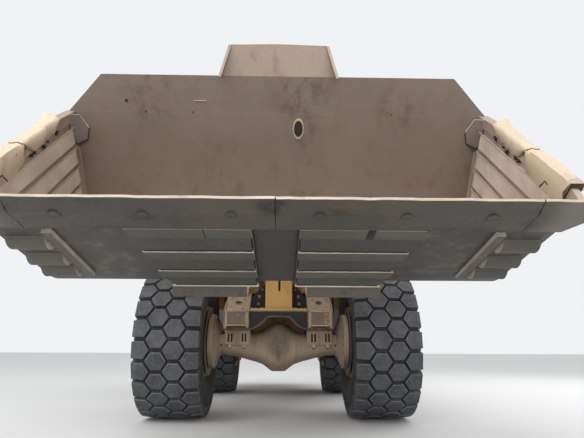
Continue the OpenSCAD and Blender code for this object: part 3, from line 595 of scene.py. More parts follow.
class LoaderColours(bpy.types.PropertyGroup):
    paint: FloatVectorProperty(name="Paint", description="Yellow paint where it is whole", subtype="COLOR", size=3,
        min=0, max=1, default=linear("#c4943e"))
    faded: FloatVectorProperty(name="Faded paint", description="Paint bleached by sun and dust", subtype="COLOR",
        size=3, min=0, max=1, default=linear("#aa8a54"))
    dust: FloatVectorProperty(name="Dust", description="Dry dust on all that faces up", subtype="COLOR", size=3, min=0,
        max=1, default=linear("#ac9478"))
    rust: FloatVectorProperty(name="Rust", description="Rust and dried mud in the chips", subtype="COLOR", size=3,
        min=0, max=1, default=linear("#5c4230"))
    steel: FloatVectorProperty(name="Steel", description="Scraped bare steel", subtype="COLOR", size=3, min=0, max=1,
        default=linear("#7c746a"))
    rubber: FloatVectorProperty(name="Rubber", description="Tyre rubber in the grooves", subtype="COLOR", size=3, min=0,
        max=1, default=linear("#28282a"))


class LoaderSizes(bpy.types.PropertyGroup):
    lugs: IntProperty(name="Lugs in a row", description="Lugs round one row of the tread", min=16, max=30, default=24)
    lug_height: FloatProperty(name="Lug height", description="Height of the tread lugs", unit="LENGTH", min=0.02,
        max=0.06, default=0.05)
    groove: FloatProperty(name="Groove", description="Gap between neighbouring lugs", unit="LENGTH", min=0.02, max=0.06,
        default=0.036)


def bucket_zone(f, colour, normal):
    """Inside the bucket stays tan, paler low on the wall as painted light; the underside turns grey brown and is
    darkened as painted shade, with dark fields between the wear bars.
    """
    place = f.split("Object")
    below = f.band(normal[2], -0.45, -0.75)
    # Painted light: the wall is paler towards the floor, where more light falls from the sky
    low = f.band(place[2], 2.5, 1.75, 0.0, 0.85)
    colour = f.blend(low, colour, "#b09c8a")
    # Rust that ran down the wall from the crown, and dark smears
    run = f.band(f.noise(7.0, 7, 0.7, stretch=(1.5, 1.5, 0.25)), 0.42, 0.66, 0.0, 0.85)
    for l, x, reach, squash, strong in ((1.0, 0.16, 0.42, 0.8, 0.9), (0.62, 0.2, 0.3, 0.6, 0.6),
            (0.9, -1.0, 0.35, 0.9, 0.6), (0.85, 0.95, 0.3, 0.9, 0.6), (0.4, -0.5, 0.35, 1.0, 0.35)):
        mark = f.times(f.spot(tuple(back_at(l, SHELL_T, x).translation), reach, (1.0 / squash, 1.0, 1.0)), run)
        colour = f.blend(f.times(mark, strong), colour, "#543c2e")
    # Painted shade: real grey brown, rust and scorch on the underside, made darker to stand in for its shade
    tone = f.blend(f.band(f.noise(2.4, 8, 0.7), 0.35, 0.7), "#342f29", "#24211d")
    rusty = f.band(f.noise(1.6, 7, 0.65), 0.5, 0.64, 0.0, 0.6)
    tone = f.blend(rusty, tone, "#3c2d23")
    scorched = f.band(f.noise(1.3, 8, 0.75, stretch=(0.8, 2.2, 2.2)), 0.54, 0.62, 0.0, 0.85)
    tone = f.blend(scorched, tone, "#181615")
    colour = f.blend(below, colour, tone)
    # Dark band just behind the edge
    start, end = skin_at(0.28, 0, 0).translation, skin_at(0.42, 0, 0).translation
    band = f.times(f.band(place[1], start.y, start.y + 0.03), f.band(place[1], end.y + 0.02, end.y - 0.03))
    band = f.times(f.times(band, below), f.band(f.noise(5.0, 7, 0.7), 0.36, 0.6, 0.25, 0.95))
    return f.blend(band, colour, "#1c1a18")


def inside_wear(f, colour):
    """Bars that face sideways or up are pale, from dust and wear and brightened as painted light; those under the floor
    stay grey brown.
    """
    below = f.band(f.split("Normal")[2], -0.1, -0.5)
    pale = f.blend(f.band(f.noise(3.0, 7, 0.7), 0.35, 0.65), "#d4c6b6", "#bcac9a")
    return f.blend(below, pale, colour)


# Smudges on the edge: across, behind the tip, reach, squash across, strength
EDGE_MARKS = ((-0.02, 0.06, 0.1, 0.8, 0.95), (0.02, 0.04, 0.07, 1.6, 0.9), (0.33, 0.1, 0.055, 0.42, 0.95),
    (-0.44, 0.168, 0.05, 0.9, 0.6), (-0.711, 0.155, 0.075, 0.75, 0.85), (-1.169, 0.13, 0.07, 0.9, 0.6),
    (0.7, 0.13, 0.05, 0.7, 0.6), (1.16, 0.13, 0.06, 0.8, 0.7), (1.45, 0.19, 0.12, 0.8, 0.8),
    (-1.62, 0.08, 0.08, 1.0, 0.7), (1.1, 0.3, 0.09, 0.25, 0.8), (-0.9, 0.3, 0.06, 0.2, 0.6))


def edge_mark(f, colour):
    """The burnt seam in the middle of the edge, dark smudges beside the bolts, and thin scrapes."""
    ragged = f.band(f.noise(11.0, 7, 0.72), 0.34, 0.56)
    for x, s, reach, squash, strong in EDGE_MARKS:
        place = skin_at(s, -EDGE_T, x).translation
        mark = f.times(f.spot(tuple(place), reach, (squash, 1.0, 1.0)), ragged)
        colour = f.blend(f.times(mark, strong), colour, "#1a1816")
    brown = f.band(f.noise(2.0, 7, 0.7), 0.5, 0.64, 0.0, 0.5)
    colour = f.blend(brown, colour, "#544534")
    # The outer corner pieces are scoured paler
    corner = f.band(f.sum("ABSOLUTE", f.split("Object")[0], 0.0), 1.38, 1.6, 0.0, 0.6)
    return f.blend(corner, colour, "#807a72")


MATERIALS = {}
COATS = (
    # key, name, paint, faded, dust, bare, rust, grime, film of dust, settled dust, chips, stains
    ("paint", "dusty_paint", "paint", "faded", "dust", "#463c32", "rust", "#604c36", 0.12, 0.5, 0.45, 0.5),
    ("nose", "chipped_nose_paint", "paint", "faded", "#8c7e6c", "#342c26", "rust", "#46382c", 0.2, 0.3, 0.8, 0.8),
    ("block", "ochre_paint", "#c49a54", "#b69258", "dust", "#463c32", "rust", "#6e5232", 0.08, 0.3, 0.75, 0.4),
    ("pad", "weathered_pad", "#544a41", "#60554a", "#786c60", "#463c32", "#544032", "#3a302a", 0.2, 0.3, 0.8, 0.8),
    ("bucket", "bucket_plate", "#8c7c70", "#968578", "#a49283", "#5c4e42", "#684e3a", "#6c5644", 0.03, 0.45, 0.3, 0.75),
    ("guard", "guard_plate", "#9a8879", "#a29182", "#a69687", "#604e40", "#785c46", "#765c46", 0.2, 0.4, 0.3, 0.7),
    ("rail", "worn_rail", "#cebca2", "#bea88e", "#cabaa2", "#584c40", "#6e543e", "#6e5a46", 0.2, 0.4, 0.6, 0.6),
    ("gusset", "corner_gusset", "#645c58", "#706660", "#82766c", "#54483e", "#604a3a", "#584a40", 0.1, 0.3, 0.3, 0.6),
    ("cast", "axle_casting", "#a49178", "#96846e", "#a89882", "#4e4034", "#684e36", "#564432", 0.25, 0.4, 0.35, 0.7),
    ("dark", "dark_paint", "#302e2c", "#423e3a", "#80705e", "#3c342c", "#503e30", "#26221e", 0.22, 0.6, 0.3, 0.4),
    ("drive", "oily_casting", "#343230", "#3e3a36", "#605448", "#22201e", "#46382c", "#161413", 0.15, 0.5, 0.3, 0.9),
    ("rim", "rim_paint", "paint", "faded", "#968064", "#463c32", "rust", "#544230", 0.4, 0.4, 0.5, 0.5),
)
SCRAPED = (
    # key, name, steel, dark hollows, dust, cover of dust, shine, way of the scrapes where it isn't across
    ("wear", "wear_bar_steel", "#58554f", "#3a3631", "#605a52", 0.25, 0.2),
    ("edge", "edge_steel", "#4c4842", "#36332e", "#504b44", 0.4, 0.2),
    ("lip", "worn_lip", "#c4b6a2", "#968a7a", "#cec0ac", 0.3, 0.55),
    ("field", "wear_field", "#44423e", "#302e2b", "#4a4641", 0.3, 0.1),
    ("middle", "middle_strip", "#3c3935", "#282522", "#443f3a", 0.2, 0.0, (4.0, 2.0, 2.0)),
    ("steel", "bare_steel", "steel", "#3c3630", "dust", 0.2, 0.8),
)
RUBBER = (
    # key, name, rubber, dust, worn
    ("rubber", "tyre_rubber", "rubber", "#545250", "#3a3a3a"),
    ("tread", "tread_rubber", "#3a3b3d", "#707071", "#4e4f51"),
    ("worn_edge", "scuffed_lug_edge", "#545557", "#8c8c8e", "#707173"),
)
PLAIN = (
    # key, name, tone, other tone, roughness, grain, depth, metal, settled dust
    ("weld", "dark_weld", "#36312c", "#2a2622", 0.75, 60.0, 0.002, 0.0, 0.0),
    ("weld_tan", "dusty_weld", "#b2a088", "#96826a", 0.85, 60.0, 0.002, 0.0, 0.0),
    ("burnt", "oily_black", "#1b1918", "#26221f", 0.8, 50.0, 0.002, 0.0, 0.0),
    ("rusty", "rusty_bolt", "#684630", "#4e382a", 0.85, 70.0, 0.002, 0.0, 0.0),
    ("chrome", "rod_chrome", "#cdcdce", "#bebcb8", 0.18, 60.0, 0.0002, 1.0, 0.25),
    ("cloth", "seat_cloth", "#2e2e32", "#3c3a3a", 0.9, 240.0, 0.002, 0.0, 0.2),
    ("moulding", "black_moulding", "#262626", "#383430", 0.65, 90.0, 0.001, 0.0, 0.4),
    ("hose", "rubber_hose", "#222121", "#34302c", 0.7, 120.0, 0.001, 0.0, 0.4),
)


class LOADER_OT_finishes(bpy.types.Operator):
    """Mixes the finishes and gives one to every node of the frame"""
    bl_idname = "loader.finishes"
    bl_label = "Finishes"

    def execute(self, context):
        chosen = context.scene.loader_colours

        def colours(row):
            return [tuple(getattr(chosen, v)) if hasattr(chosen, v) else v for v in row]

        m = MATERIALS
        # The rail's darker colour on what faces the ground is painted shade
        zones = {"nose": nose_zone, "bucket": bucket_zone, "rail": painted_underside_shade("#625648"), "cast": axle_zone}
        for key, label, *row in COATS:
            m[key] = dusty_coat(label, *colours(row[:6]), *row[6:], zones.get(key))
        marks = {"wear": inside_wear, "edge": edge_mark}
        for key, label, *row in SCRAPED:
            m[key] = scraped_steel(label, *colours(row[:3]), *row[3:5], marks.get(key), *row[5:])
        for key, label, *row in RUBBER:
            m[key] = tyre_rubber(label, *colours(row))
        for key, label, tone, other, *row in PLAIN:
            m[key] = plain_finish(label, tone, other, *row, dust=tuple(chosen.dust))
        m["glass"] = window_glass("dusty_glass", "#607074", tuple(chosen.dust))
        for key, label, tone in (("lens", "lamp_lens", "#d6d6ce"), ("red_lens", "tail_lens", "#961c16"),
                ("amber_lens", "amber_lens", "#d67818")):
            m[key] = lamp_lens(label, tone)
        slots = {"paint": "paint", "worn_paint": "bucket", "wear_steel": "wear", "cast": "cast", "drive": "drive",
            "dark_paint": "dark", "rim_paint": "rim", "tyre_rubber": "rubber", "rod_chrome": "chrome",
            "window": "glass", "seat_cloth": "cloth", "cab_plastic": "moulding"}
        own = {"cutting_edge": "edge", "spill_guard": "guard", "front_frame": "nose"}
        for part in frame["record"]["subparts"]:
            node = frame["nodes"][part["node"]]
            material = m[own.get(part["node"], slots[part["material_slot"]])]
            if not node.material_slots:
                node.data.materials.append(material)
            for slot in node.material_slots:
                slot.material = material
        return {"FINISHED"}


def axle_zone(f, colour, normal):
    """Oil round the middle plug with a drip under it, and painted shade on what faces down."""
    centre = spot(0.3, 0.0, AXLE_Z - 0.055)
    ring = f.times(f.spot(tuple(centre), 0.24, (1.15, 0.4, 0.95)), f.band(f.noise(7.0, 6, 0.65), 0.2, 0.55))
    colour = f.blend(f.times(ring, 0.95), colour, "#3c342e")
    drip = f.spot((centre.x, centre.y, centre.z - 0.09), 0.11, (2.6, 0.4, 0.8))
    colour = f.blend(f.times(drip, 0.85), colour, "#221d1a")
    # Painted shade: what faces down is darkened towards a brown
    return f.blend(f.band(normal[2], -0.2, -0.9, 0.0, 0.5), colour, "#4a3e32")


# Tyres


def lug(shape, outline, radius, root, inset):
    """One lug of the tread: its outline is wrapped round the tyre, and its top edge is scuffed."""
    bm = shape.bm
    verts = [bm.verts.new((x, y, 0)) for x, y in outline]
    face = bm.faces.new(verts)
    grown = bmesh.ops.extrude_face_region(bm, geom=[face])
    top = verts_in(grown["geom"])
    top_face = next(item for item in grown["geom"] if isinstance(item, bmesh.types.BMFace))
    bmesh.ops.translate(bm, vec=(0, 0, 1), verts=top)
    middle = Vector((sum(v.co.x for v in top) / len(top), 0, 0))
    for vert in verts:
        vert.co.x = middle.x + (vert.co.x - middle.x) * 1.05
        vert.co.y *= 1.06
    ring = bmesh.ops.inset_region(bm, faces=[top_face], thickness=inset, depth=0.0)["faces"]
    made = shape.linked(top)
    inner = set(top_face.verts)
    for vert in made:
        across = abs(vert.co.x)
        crown = 0.024 * (across / 0.36) ** 2.2
        level = radius - crown if vert.co.z > 0.5 else root - crown * 0.6
        if vert.co.z > 0.5 and vert not in inner:
            level -= inset * 0.8
        if across > 0.3 and vert.co.z < 0.5:
            level -= 0.05 * (across - 0.3) / 0.06
        angle = vert.co.y / radius
        vert.co = Vector((vert.co.x, level * sin(angle), level * cos(angle)))
    shape.mark(made, 1, False)
    for face in ring:
        face.material_index = 2
    bmesh.ops.recalc_face_normals(bm, faces=faces_of(made))
    return made


def tyre(name, body, node, sizes):
    """Carcass by a spin, then four rows of hexagonal lugs round it."""
    shape = Shape()
    low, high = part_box(node)
    half = (high[0] - low[0]) / 2
    centre = ((low[0] + high[0]) / 2, (low[1] + high[1]) / 2, AXLE_Z)
    radius, root = AXLE_Z, AXLE_Z - sizes.lug_height
    # Half of the carcass: radius and distance from the middle
    side = [(0.4, 0.25), (0.415, 0.3), (0.47, 0.335), (0.53, 0.356), (0.6, half - 0.004), (0.66, half),
        (0.7, half - 0.002), (0.705, half - 0.008), (0.735, half - 0.01), (0.775, half - 0.016), (0.8, 0.335),
        (0.822, 0.3), (root - 0.014, 0.2), (root, 0.08)]
    profile = side + [(r, -x) for r, x in reversed(side)]
    shape.spun(turned(radians(90), "Y"), profile, steps=96)
    pitch = tau * radius / sizes.lugs
    high = (pitch - sizes.groove * 1.35) / 2
    # Distance between the rows, and half widths of a hexagon at its points and at its flats
    step = 0.1865
    point = step / 2 + 0.0195
    flat = step / 2 - 0.0395
    hexagon = [(-point, 0), (-flat, high), (flat, high), (point, 0), (flat, -high), (-flat, -high)]
    outer = [(-point, 0), (-flat, high), (half - 0.012 - 1.5 * step, high * 0.96),
        (half - 0.012 - 1.5 * step, -high * 0.96), (-flat, -high)]
    rows = ((-0.5 * step, 0.0, hexagon, 1), (0.5 * step, 0.5, hexagon, 1), (1.5 * step, 0.0, outer, 1),
        (-1.5 * step, 0.5, outer, -1))
    for across, phase, outline, turn in rows:
        first = lug(shape, [(across + turn * x, y) for x, y in outline], radius, root - 0.006, 0.007)
        geometry = faces_of(first) + edges_of(first) + first
        copies = [verts_in(bmesh.ops.duplicate(shape.bm, geom=geometry)["geom"]) for _ in range(1, sizes.lugs)]
        for i, verts in enumerate([first] + copies):
            angle = (i + phase) * tau / sizes.lugs
            bmesh.ops.rotate(shape.bm, cent=(0, 0, 0), matrix=Matrix.Rotation(angle, 3, "X"), verts=verts)
    # Short ribs on the shoulders of both sidewalls
    for turn in (-1, 1):
        for i in range(sizes.lugs * 2):
            place = turned(i * tau / (sizes.lugs * 2), "X") @ move(turn * (half - 0.016), 0, 0.752)
            shape.block(place, (0.016, 0.03, 0.06), 0.004)
    bmesh.ops.translate(shape.bm, vec=centre, verts=shape.bm.verts)
    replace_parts(shape.finish(name, body, "rubber tread worn_edge", 0.45), node)


class LOADER_OT_tyres(bpy.types.Operator):
    """Builds the four tyres with their hexagonal lugs"""
    bl_idname = "loader.tyres"
    bl_label = "Tyres"

    def execute(self, context):
        for end, side in (("f", "l"), ("f", "r"), ("r", "l"), ("r", "r")):
            node = "tyre_" + end + side
            tyre("treaded_" + node, "wheel_" + end + side, node, context.scene.loader_sizes)
        return {"FINISHED"}


# Bucket


RAIL_STATIONS = (
    # along, foot of the inner flap, height over the rail, height of the outer edge
    ((0.374, 0.012, 0.038, 0.08), (0.392, 0.004, 0.038, 0.072), (0.42, -0.014, 0.037, 0.052),
     (0.47, -0.034, 0.037, 0.044), (0.56, -0.045, 0.038, 0.046), (0.66, -0.052, 0.037, 0.036),
     (0.75, -0.06, 0.037, 0.022), (0.82, -0.054, 0.037, 0.012), (0.865, -0.026, 0.038, 0.012),
     (0.895, -0.004, 0.04, 0.022), (0.915, 0.02, 0.041, 0.03)),
    ((0.925, 0.0, 0.037, 0.012), (0.95, -0.07, 0.037, 0.02), (1.02, -0.096, 0.038, 0.034), (1.1, -0.112, 0.039, 0.044),
     (1.2, -0.13, 0.038, 0.042), (1.3, -0.14, 0.037, 0.034), (1.38, -0.16, 0.036, 0.02), (1.43, -0.13, 0.032, 0.008)),
)
CORNER_PLATE = ((2.814, 1.612, 2.532), (2.74, 1.57, 2.575), (2.672, 1.512, 2.497), (2.616, 1.535, 2.422),
    (2.62, 1.612, 2.376), (2.743, 1.612, 2.392))
EDGE_BOLTS = (0.233, 0.7, 1.16)
BAR_PITCH = 0.335
BAR_W = 0.116


def cutting_edge():
    """Four plates with a worn lip, bolts and a burnt seam."""
    shape = Shape()
    wear = random.Random(5)
    for side in (-1, 1):
        plates = ((0.0015, ((1.3985, 0.0), (1.3985, -EDGE_LEN))),
            (1.4015, ((1.72, 0.0), (1.72, -0.13), (1.625, -EDGE_LEN))))
        for near, corners in plates:
            outline = ((near, 0.0),) + corners + ((near, -EDGE_LEN),)
            made = shape.plate(Matrix(), [(side * x, y) for x, y in outline], EDGE_T)
            made = shape.cut(made, (0, -0.004, 0.014), (0, 0.036, 0.106))
            made = shape.cut(made, (0, -0.0005, 0.0), (0, 0.014, 0.004))
            x = near + 0.07
            while x < corners[0][0] - 0.04:
                made = shape.cut(made, (side * x, 0, 0), (1, 0, 0), clear=False)
                x += wear.uniform(0.05, 0.12)
            dips = {}
            for vert in made:
                if vert.co.y > -0.03:
                    key = round(vert.co.x, 4)
                    dips.setdefault(key, wear.uniform(0.0, 0.007))
                    vert.co.y -= dips[key]
            for face in faces_of(made):
                face.normal_update()
                face.material_index = 1 if face.normal.y > 0.9 and face.calc_center_median().y > -0.03 else 0
            bmesh.ops.transform(shape.bm, matrix=skin_at(0, 0, 0), verts=made)
        # Upstands of the corner pieces beside the floor
        outline = ((0, 0.002), (-EDGE_LEN, 0.002), (-EDGE_LEN, 0.06), (-0.18, 0.09), (-0.04, 0.02))
        high = max(side * BUCKET_X, side * 1.72)
        shape.plate(side_at(TIP[0], TIP[1], high, FLOOR_SLOPE), outline, 0.06, 0.006)
        for x in EDGE_BOLTS:
            place = skin_at(0.125, -EDGE_T, side * x)
            shape.disc(place @ move(0, 0, -0.003), 0.035, 0.0042, 28, material=3)
            shape.disc(place @ move(0, 0, -0.002), 0.031, 0.0048, 28, top=0.027, material=4)
        shape.block(skin_at(0.034, -0.013, side * 0.003), (0.006, 0.05, 0.024), 0.0, 2)
        # Weld behind the edge
        shape.bead(skin_at(EDGE_LEN + 0.006, -0.008, side * 0.01), skin_at(EDGE_LEN + 0.006, -0.008, side * 1.6), 0.013,
            3)
        shape.bead(skin_at(0.07, -0.044, side * 1.4), skin_at(0.29, -0.049, side * 1.4), 0.005, 3)
    piece = shape.finish("edge_plates", "bucket", "edge lip burnt weld field", 0.5, 0.002)
    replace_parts(piece, "cutting_edge")


class LOADER_OT_edge(bpy.types.Operator):
    """Cuts the edge of the bucket into its four plates, with a worn lip, bolts and a burnt seam"""
    bl_idname = "loader.edge"
    bl_label = "Cutting edge"

    def execute(self, context):
        cutting_edge()
        return {"FINISHED"}


def between(stations, along):
    """Values at a distance along a row of stations."""
    for a, b in zip(stations, stations[1:]):
        if along <= b[0]:
            share = min(1.0, max(0.0, (along - a[0]) / (b[0] - a[0])))
            return tuple(p + (q - p) * share for p, q in zip(a[1:], b[1:]))
    return stations[-1][1:]


def torn_rails():
    """Worn caps folded over the mouth of each side, torn at their ends."""
    torn = random.Random(23)
    shape = Shape()
    for side in (-1, 1):
        for stations in RAIL_STATIONS:
            grid = bmesh.ops.create_grid(shape.bm, x_segments=44, y_segments=12, size=0.5)["verts"]
            first, last = stations[0][0], stations[-1][0]
            ragged = {}
            for vert in grid:
                u, v = vert.co.x + 0.5, vert.co.y + 0.5
                along = first + (last - first) * u
                foot, fold, outer = between(stations, along)
                key = (round(u, 3), v < 0.01)
                if key not in ragged:
                    ragged[key] = torn.uniform(-0.0025, 0.0025) + 0.004 * sin(along * 63 + side) * (v < 0.01)
                if v < 0.4:
                    out, high = 1.598 - 0.006 * sin(pi * v / 0.4), foot + (fold - 0.006 - foot) * v / 0.4
                elif v < 0.88:
                    share = (v - 0.4) / 0.48
                    out, high = 1.6 + 0.095 * share, fold + (max(outer, fold) - fold) * share
                else:
                    out, high = 1.7, outer - (v - 0.88) * 0.2
                high += ragged[key] if v < 0.01 or v > 0.99 else 0.0
                end = 0.012 * sin(v * 19) if u in (0.0, 1.0) else 0.0
                lump = 0.002 * sin(along * 23 + v * 5)
                vert.co = mouth_point(side, along + end, out, high + lump)
            faces = faces_of(grid)
            bmesh.ops.recalc_face_normals(shape.bm, faces=faces)
            for face in faces:
                face.smooth = True
            sample = max(faces, key=lambda f: f.calc_center_median().z)
            outward = mouth_point(side, 0, 0, 1) - mouth_point(side, 0, 0, 0)
            if sample.normal.dot(outward) < 0:
                bmesh.ops.reverse_faces(shape.bm, faces=faces)
            bmesh.ops.solidify(shape.bm, geom=faces, thickness=0.007)
        for along, high, radius in ((0.43, -0.052, 0.009), (0.455, -0.06, 0.014), (0.60, -0.07, 0.008),
                (0.66, -0.083, 0.014), (0.80, -0.075, 0.011), (0.845, -0.075, 0.013)):
            place = facing(mouth_point(side, along, 1.6, high), (-side, 0, 0))
            shape.disc(place @ move(0, 0, -0.012), radius, 0.0135, 14, material=1)
        # Crack in the second cap
        crack = ((1.19, -0.105), (1.2, -0.084), (1.213, -0.072), (1.222, -0.052), (1.243, -0.05), (1.262, -0.058))
        shape.pipe([mouth_point(side, a, 1.5925, h) for a, h in crack], 0.004, 6, 1)
    shape.finish("torn_rail_caps", "bucket", "rail burnt", 1.2)


def inside_plates():
    """Corner plates, worn edges of the bars, seams, the rimmed hole and a weld dash."""
    shape = Shape()
    for side in (-1, 1):
        rim = line_on(side, CORNER_PLATE)
        centre = sum(rim, Vector()) / len(rim) + Vector((-side * 0.004, -0.004, 0.0))
        verts = [shape.bm.verts.new(p) for p in rim]
        middle = shape.bm.verts.new(centre)
        faces = [shape.bm.faces.new((a, b, middle)) for a, b in zip(verts, verts[1:] + verts[:1])]
        bmesh.ops.recalc_face_normals(shape.bm, faces=faces)
        if faces[0].normal.y > 0:
            bmesh.ops.reverse_faces(shape.bm, faces=faces)
        for face in faces:
            face.smooth, face.material_index = True, 3
        bmesh.ops.solidify(shape.bm, geom=faces, thickness=0.016)
        shape.pipe(rim[0:3], 0.0045, 8, 2)
        for i in (2, 3, 4):
            shape.bead(rim[i], rim[(i + 1) % 6], 0.005, 1)
        # Bright worn edges of the bars inside each side
        for i in range(5):
            start, end = 0.17 + i * 0.022, 1.55 + i * 0.022
            high = -0.1035 - i * 0.155
            line = [mouth_point(side, start + (end - start) * k / 8, 1.5955, high) for k in range(9)]
            shape.pipe([p for p in line if p.z > 1.62 - (p.y + 4.9) * 0.2 + 0.03], 0.0035, 6, 2)
        # Seam of the side plate and the back, and of the side plate and the floor
        shape.bead(back_at(0.05, SHELL_T + 0.004, side * 1.616), back_at(0.5, SHELL_T + 0.004, side * 1.616), 0.009, 2)
        shape.bead(skin_at(0.14, SHELL_T + 0.004, side * 1.614), skin_at(1.19, SHELL_T + 0.004, side * 1.614), 0.009, 2)
    hole = back_at(0.668, SHELL_T, 0.159)
    ring = ((0.034, 0.0), (0.037, 0.004), (0.042, 0.003), (0.046, 0.0))
    hole = hole @ Matrix.Diagonal((1.0, 1.85, 1.0, 1.0))
    shape.spun(hole, ring, 24, 2)
    shape.disc(hole @ move(0, 0, -0.02), 0.036, 0.0215, 24, material=1)
    shape.disc(back_at(0.876, SHELL_T - 0.012, -1.196), 0.013, 0.0132, 16, material=1)
    shape.bead(back_at(0.881, SHELL_T, -0.67), back_at(0.881, SHELL_T, -0.57), 0.008, 2)
    for x in (-1.05, -0.68, 0.9):
        shape.disc(back_at(0.79, SHELL_T - 0.012, x), 0.007, 0.0125, 12, material=1)
    shape.finish("bucket_inside_plates", "bucket", "bucket burnt weld_tan gusset", 1.0, 0.0)


def wear_fields():
    """Wear fields between the cross bars, the middle strip, and dark lines round the bars, partly welds and partly
    painted shadow.
    """
    shape = Shape()
    worn = random.Random(11)
    steps = [EDGE_LEN + 0.012 + i * 0.0885 for i in range(17)]
    for side in (-1, 1):
        def width(i):
            inner, outer = side * 0.148, side * (0.868 - 0.1 * (steps[i] - 0.36))
            return min(inner, outer), max(inner, outer)
        shape.strip([skin_at(s, -0.001, 0) for s in steps[:13]], width, 0.037)
        for i in range(4):
            s = EDGE_LEN + 0.062 + BAR_PITCH * i
            outer = 0.862 - 0.034 * i
            # Dark lines along both edges of each bar: partly weld, partly painted shadow where the bar stands above the
            # field
            for turn in (-1, 1):
                if i == 0 and turn < 0:
                    continue
                line = []
                for k in range(19):
                    x = 0.15 + (outer - 0.15) * k / 18
                    along = s + turn * (BAR_W / 2 + 0.003) + worn.uniform(-0.006, 0.006)
                    line.append(skin_at(along, -0.037, side * x).translation)
                shape.pipe(line, 0.0065, 6, 3)
            # Flame-cut gap in the first bar
            if i == 0:
                x = -0.41 if side < 0 else 0.55
                shape.block(skin_at(s, -0.0495, x), (0.006 if side < 0 else 0.045, BAR_W * 1.02, 0.005), 0.001, 3)
        # Welded foot of the hinge ears on the heel
        for x in (0.577, 0.637, 0.753, 0.813):
            for s in (1.32, 1.45, 1.58, 1.71):
                shape.bead(skin_at(s, -0.003, side * x), skin_at(s + 0.12, -0.003, side * x), 0.008, 1)
    middle = [EDGE_LEN + 0.012 + i * 0.075 for i in range(19)]
    shape.strip([skin_at(s, -0.0005, 0) for s in middle],
        lambda i: (-0.132 + 0.012 * max(0, i - 15), 0.132 - 0.012 * max(0, i - 15)), 0.006, 2)
    for side in (-1, 1):
        shape.strip([skin_at(s, -0.001, side * 0.138) for s in middle[:17]], (-0.004, 0.004), 0.034, 0)
    shape.finish("floor_wear_fields", "bucket", "field weld middle burnt", 0.6, 0.002)


def back_ribs():
    """Stiffeners, ear welds and pin keepers behind the bucket."""
    shape = Shape()
    for side in (-1, 1):
        for x in (0.98, 1.28):
            ribs = [back_at(l, -0.001, side * x) @ turned(pi, "Y") for l in (-0.02, 0.1, 0.62, 0.74)]
            depth = (0.01, 0.062, 0.062, 0.01)
            shape.loft([line_in(place, ((-0.012, 0, 0), (0.012, 0, 0), (0.012, 0, d), (-0.012, 0, d)))
                for place, d in zip(ribs, depth)], 0, False)
        place = back_at(0.8, 0.0, side * 0.85) @ turned(pi, "Y")
        shape.block(place @ move(0, 0, 0.018), (1.5, 0.09, 0.036), 0.006, 0)
        # Bolted keepers on the hinge pins, inside and outside of the ears
        for x, way in ((0.812, 1), (0.58, -1)):
            point = spot(BUCKET_HINGE[0], side * x, BUCKET_HINGE[1])
            place = facing(point, (side * way, 0, 0))
            shape.spun(place, ((0.0, 0.012), (0.05, 0.012), (0.058, 0.006), (0.078, 0.006), (0.082, 0.0),
                (0.05, -0.002)), 32, 1)
            shape.bolts(place, 4, 0.067, 0.005, 0.009, 0.009, shift=0.5)
        place = flank_at(1.9957, side * 0.111, 2.0314, side)
        shape.spun(place, ((0.0, 0.014), (0.03, 0.014), (0.044, 0.01), (0.049, 0.0)), 28, 1)
        shape.bolts(place, 3, 0.028, 0.012, 0.007, 0.007)
        for x in (0.582, 0.632, 0.758, 0.808):
            shape.bead(back_at(0.02, -0.003, side * x), back_at(0.14, -0.003, side * x), 0.008, 2)
    shape.finish("bucket_back_ribs", "bucket", "bucket steel weld", 0.6, 0.0025)


class LOADER_OT_bucket(bpy.types.Operator):
    """Adds the torn rails, corner plates, wear fields, welds and back of the bucket"""
    bl_idname = "loader.bucket"
    bl_label = "Bucket fittings"

    def execute(self, context):
        torn_rails()
        inside_plates()
        wear_fields()
        back_ribs()
        return {"FINISHED"}


# Axles and nose


AXLE_RINGS = (
    # across, bottom, top, half depth
    (0.0, 0.543, 1.118, 0.288), (0.05, 0.543, 1.112, 0.286), (0.092, 0.547, 1.088, 0.278),
    (0.125, 0.573, 1.06, 0.264), (0.19, 0.62, 1.02, 0.24), (0.27, 0.648, 0.99, 0.208), (0.37, 0.674, 0.982, 0.176),
    (0.46, 0.698, 0.98, 0.158), (0.56, 0.72, 0.98, 0.148), (0.66, 0.735, 0.985, 0.142), (0.71, 0.735, 0.992, 0.145),
    (0.745, 0.7, 1.06, 0.19), (0.772, 0.62, 1.16, 0.27), (0.79, 0.585, 1.215, 0.315),
)
BRAKE_PROFILE = ((0.0, 0.788), (0.322, 0.788), (0.33, 0.796), (0.33, 0.842), (0.322, 0.85), (0.262, 0.851),
    (0.252, 0.862), (0.25, 0.885), (0.243, 0.89), (0.243, 0.93), (0.25, 0.935), (0.25, 1.1545), (0.0, 1.1545))
PAD_WINDOWS = ((-0.59, -0.42), (0.43, 0.6))


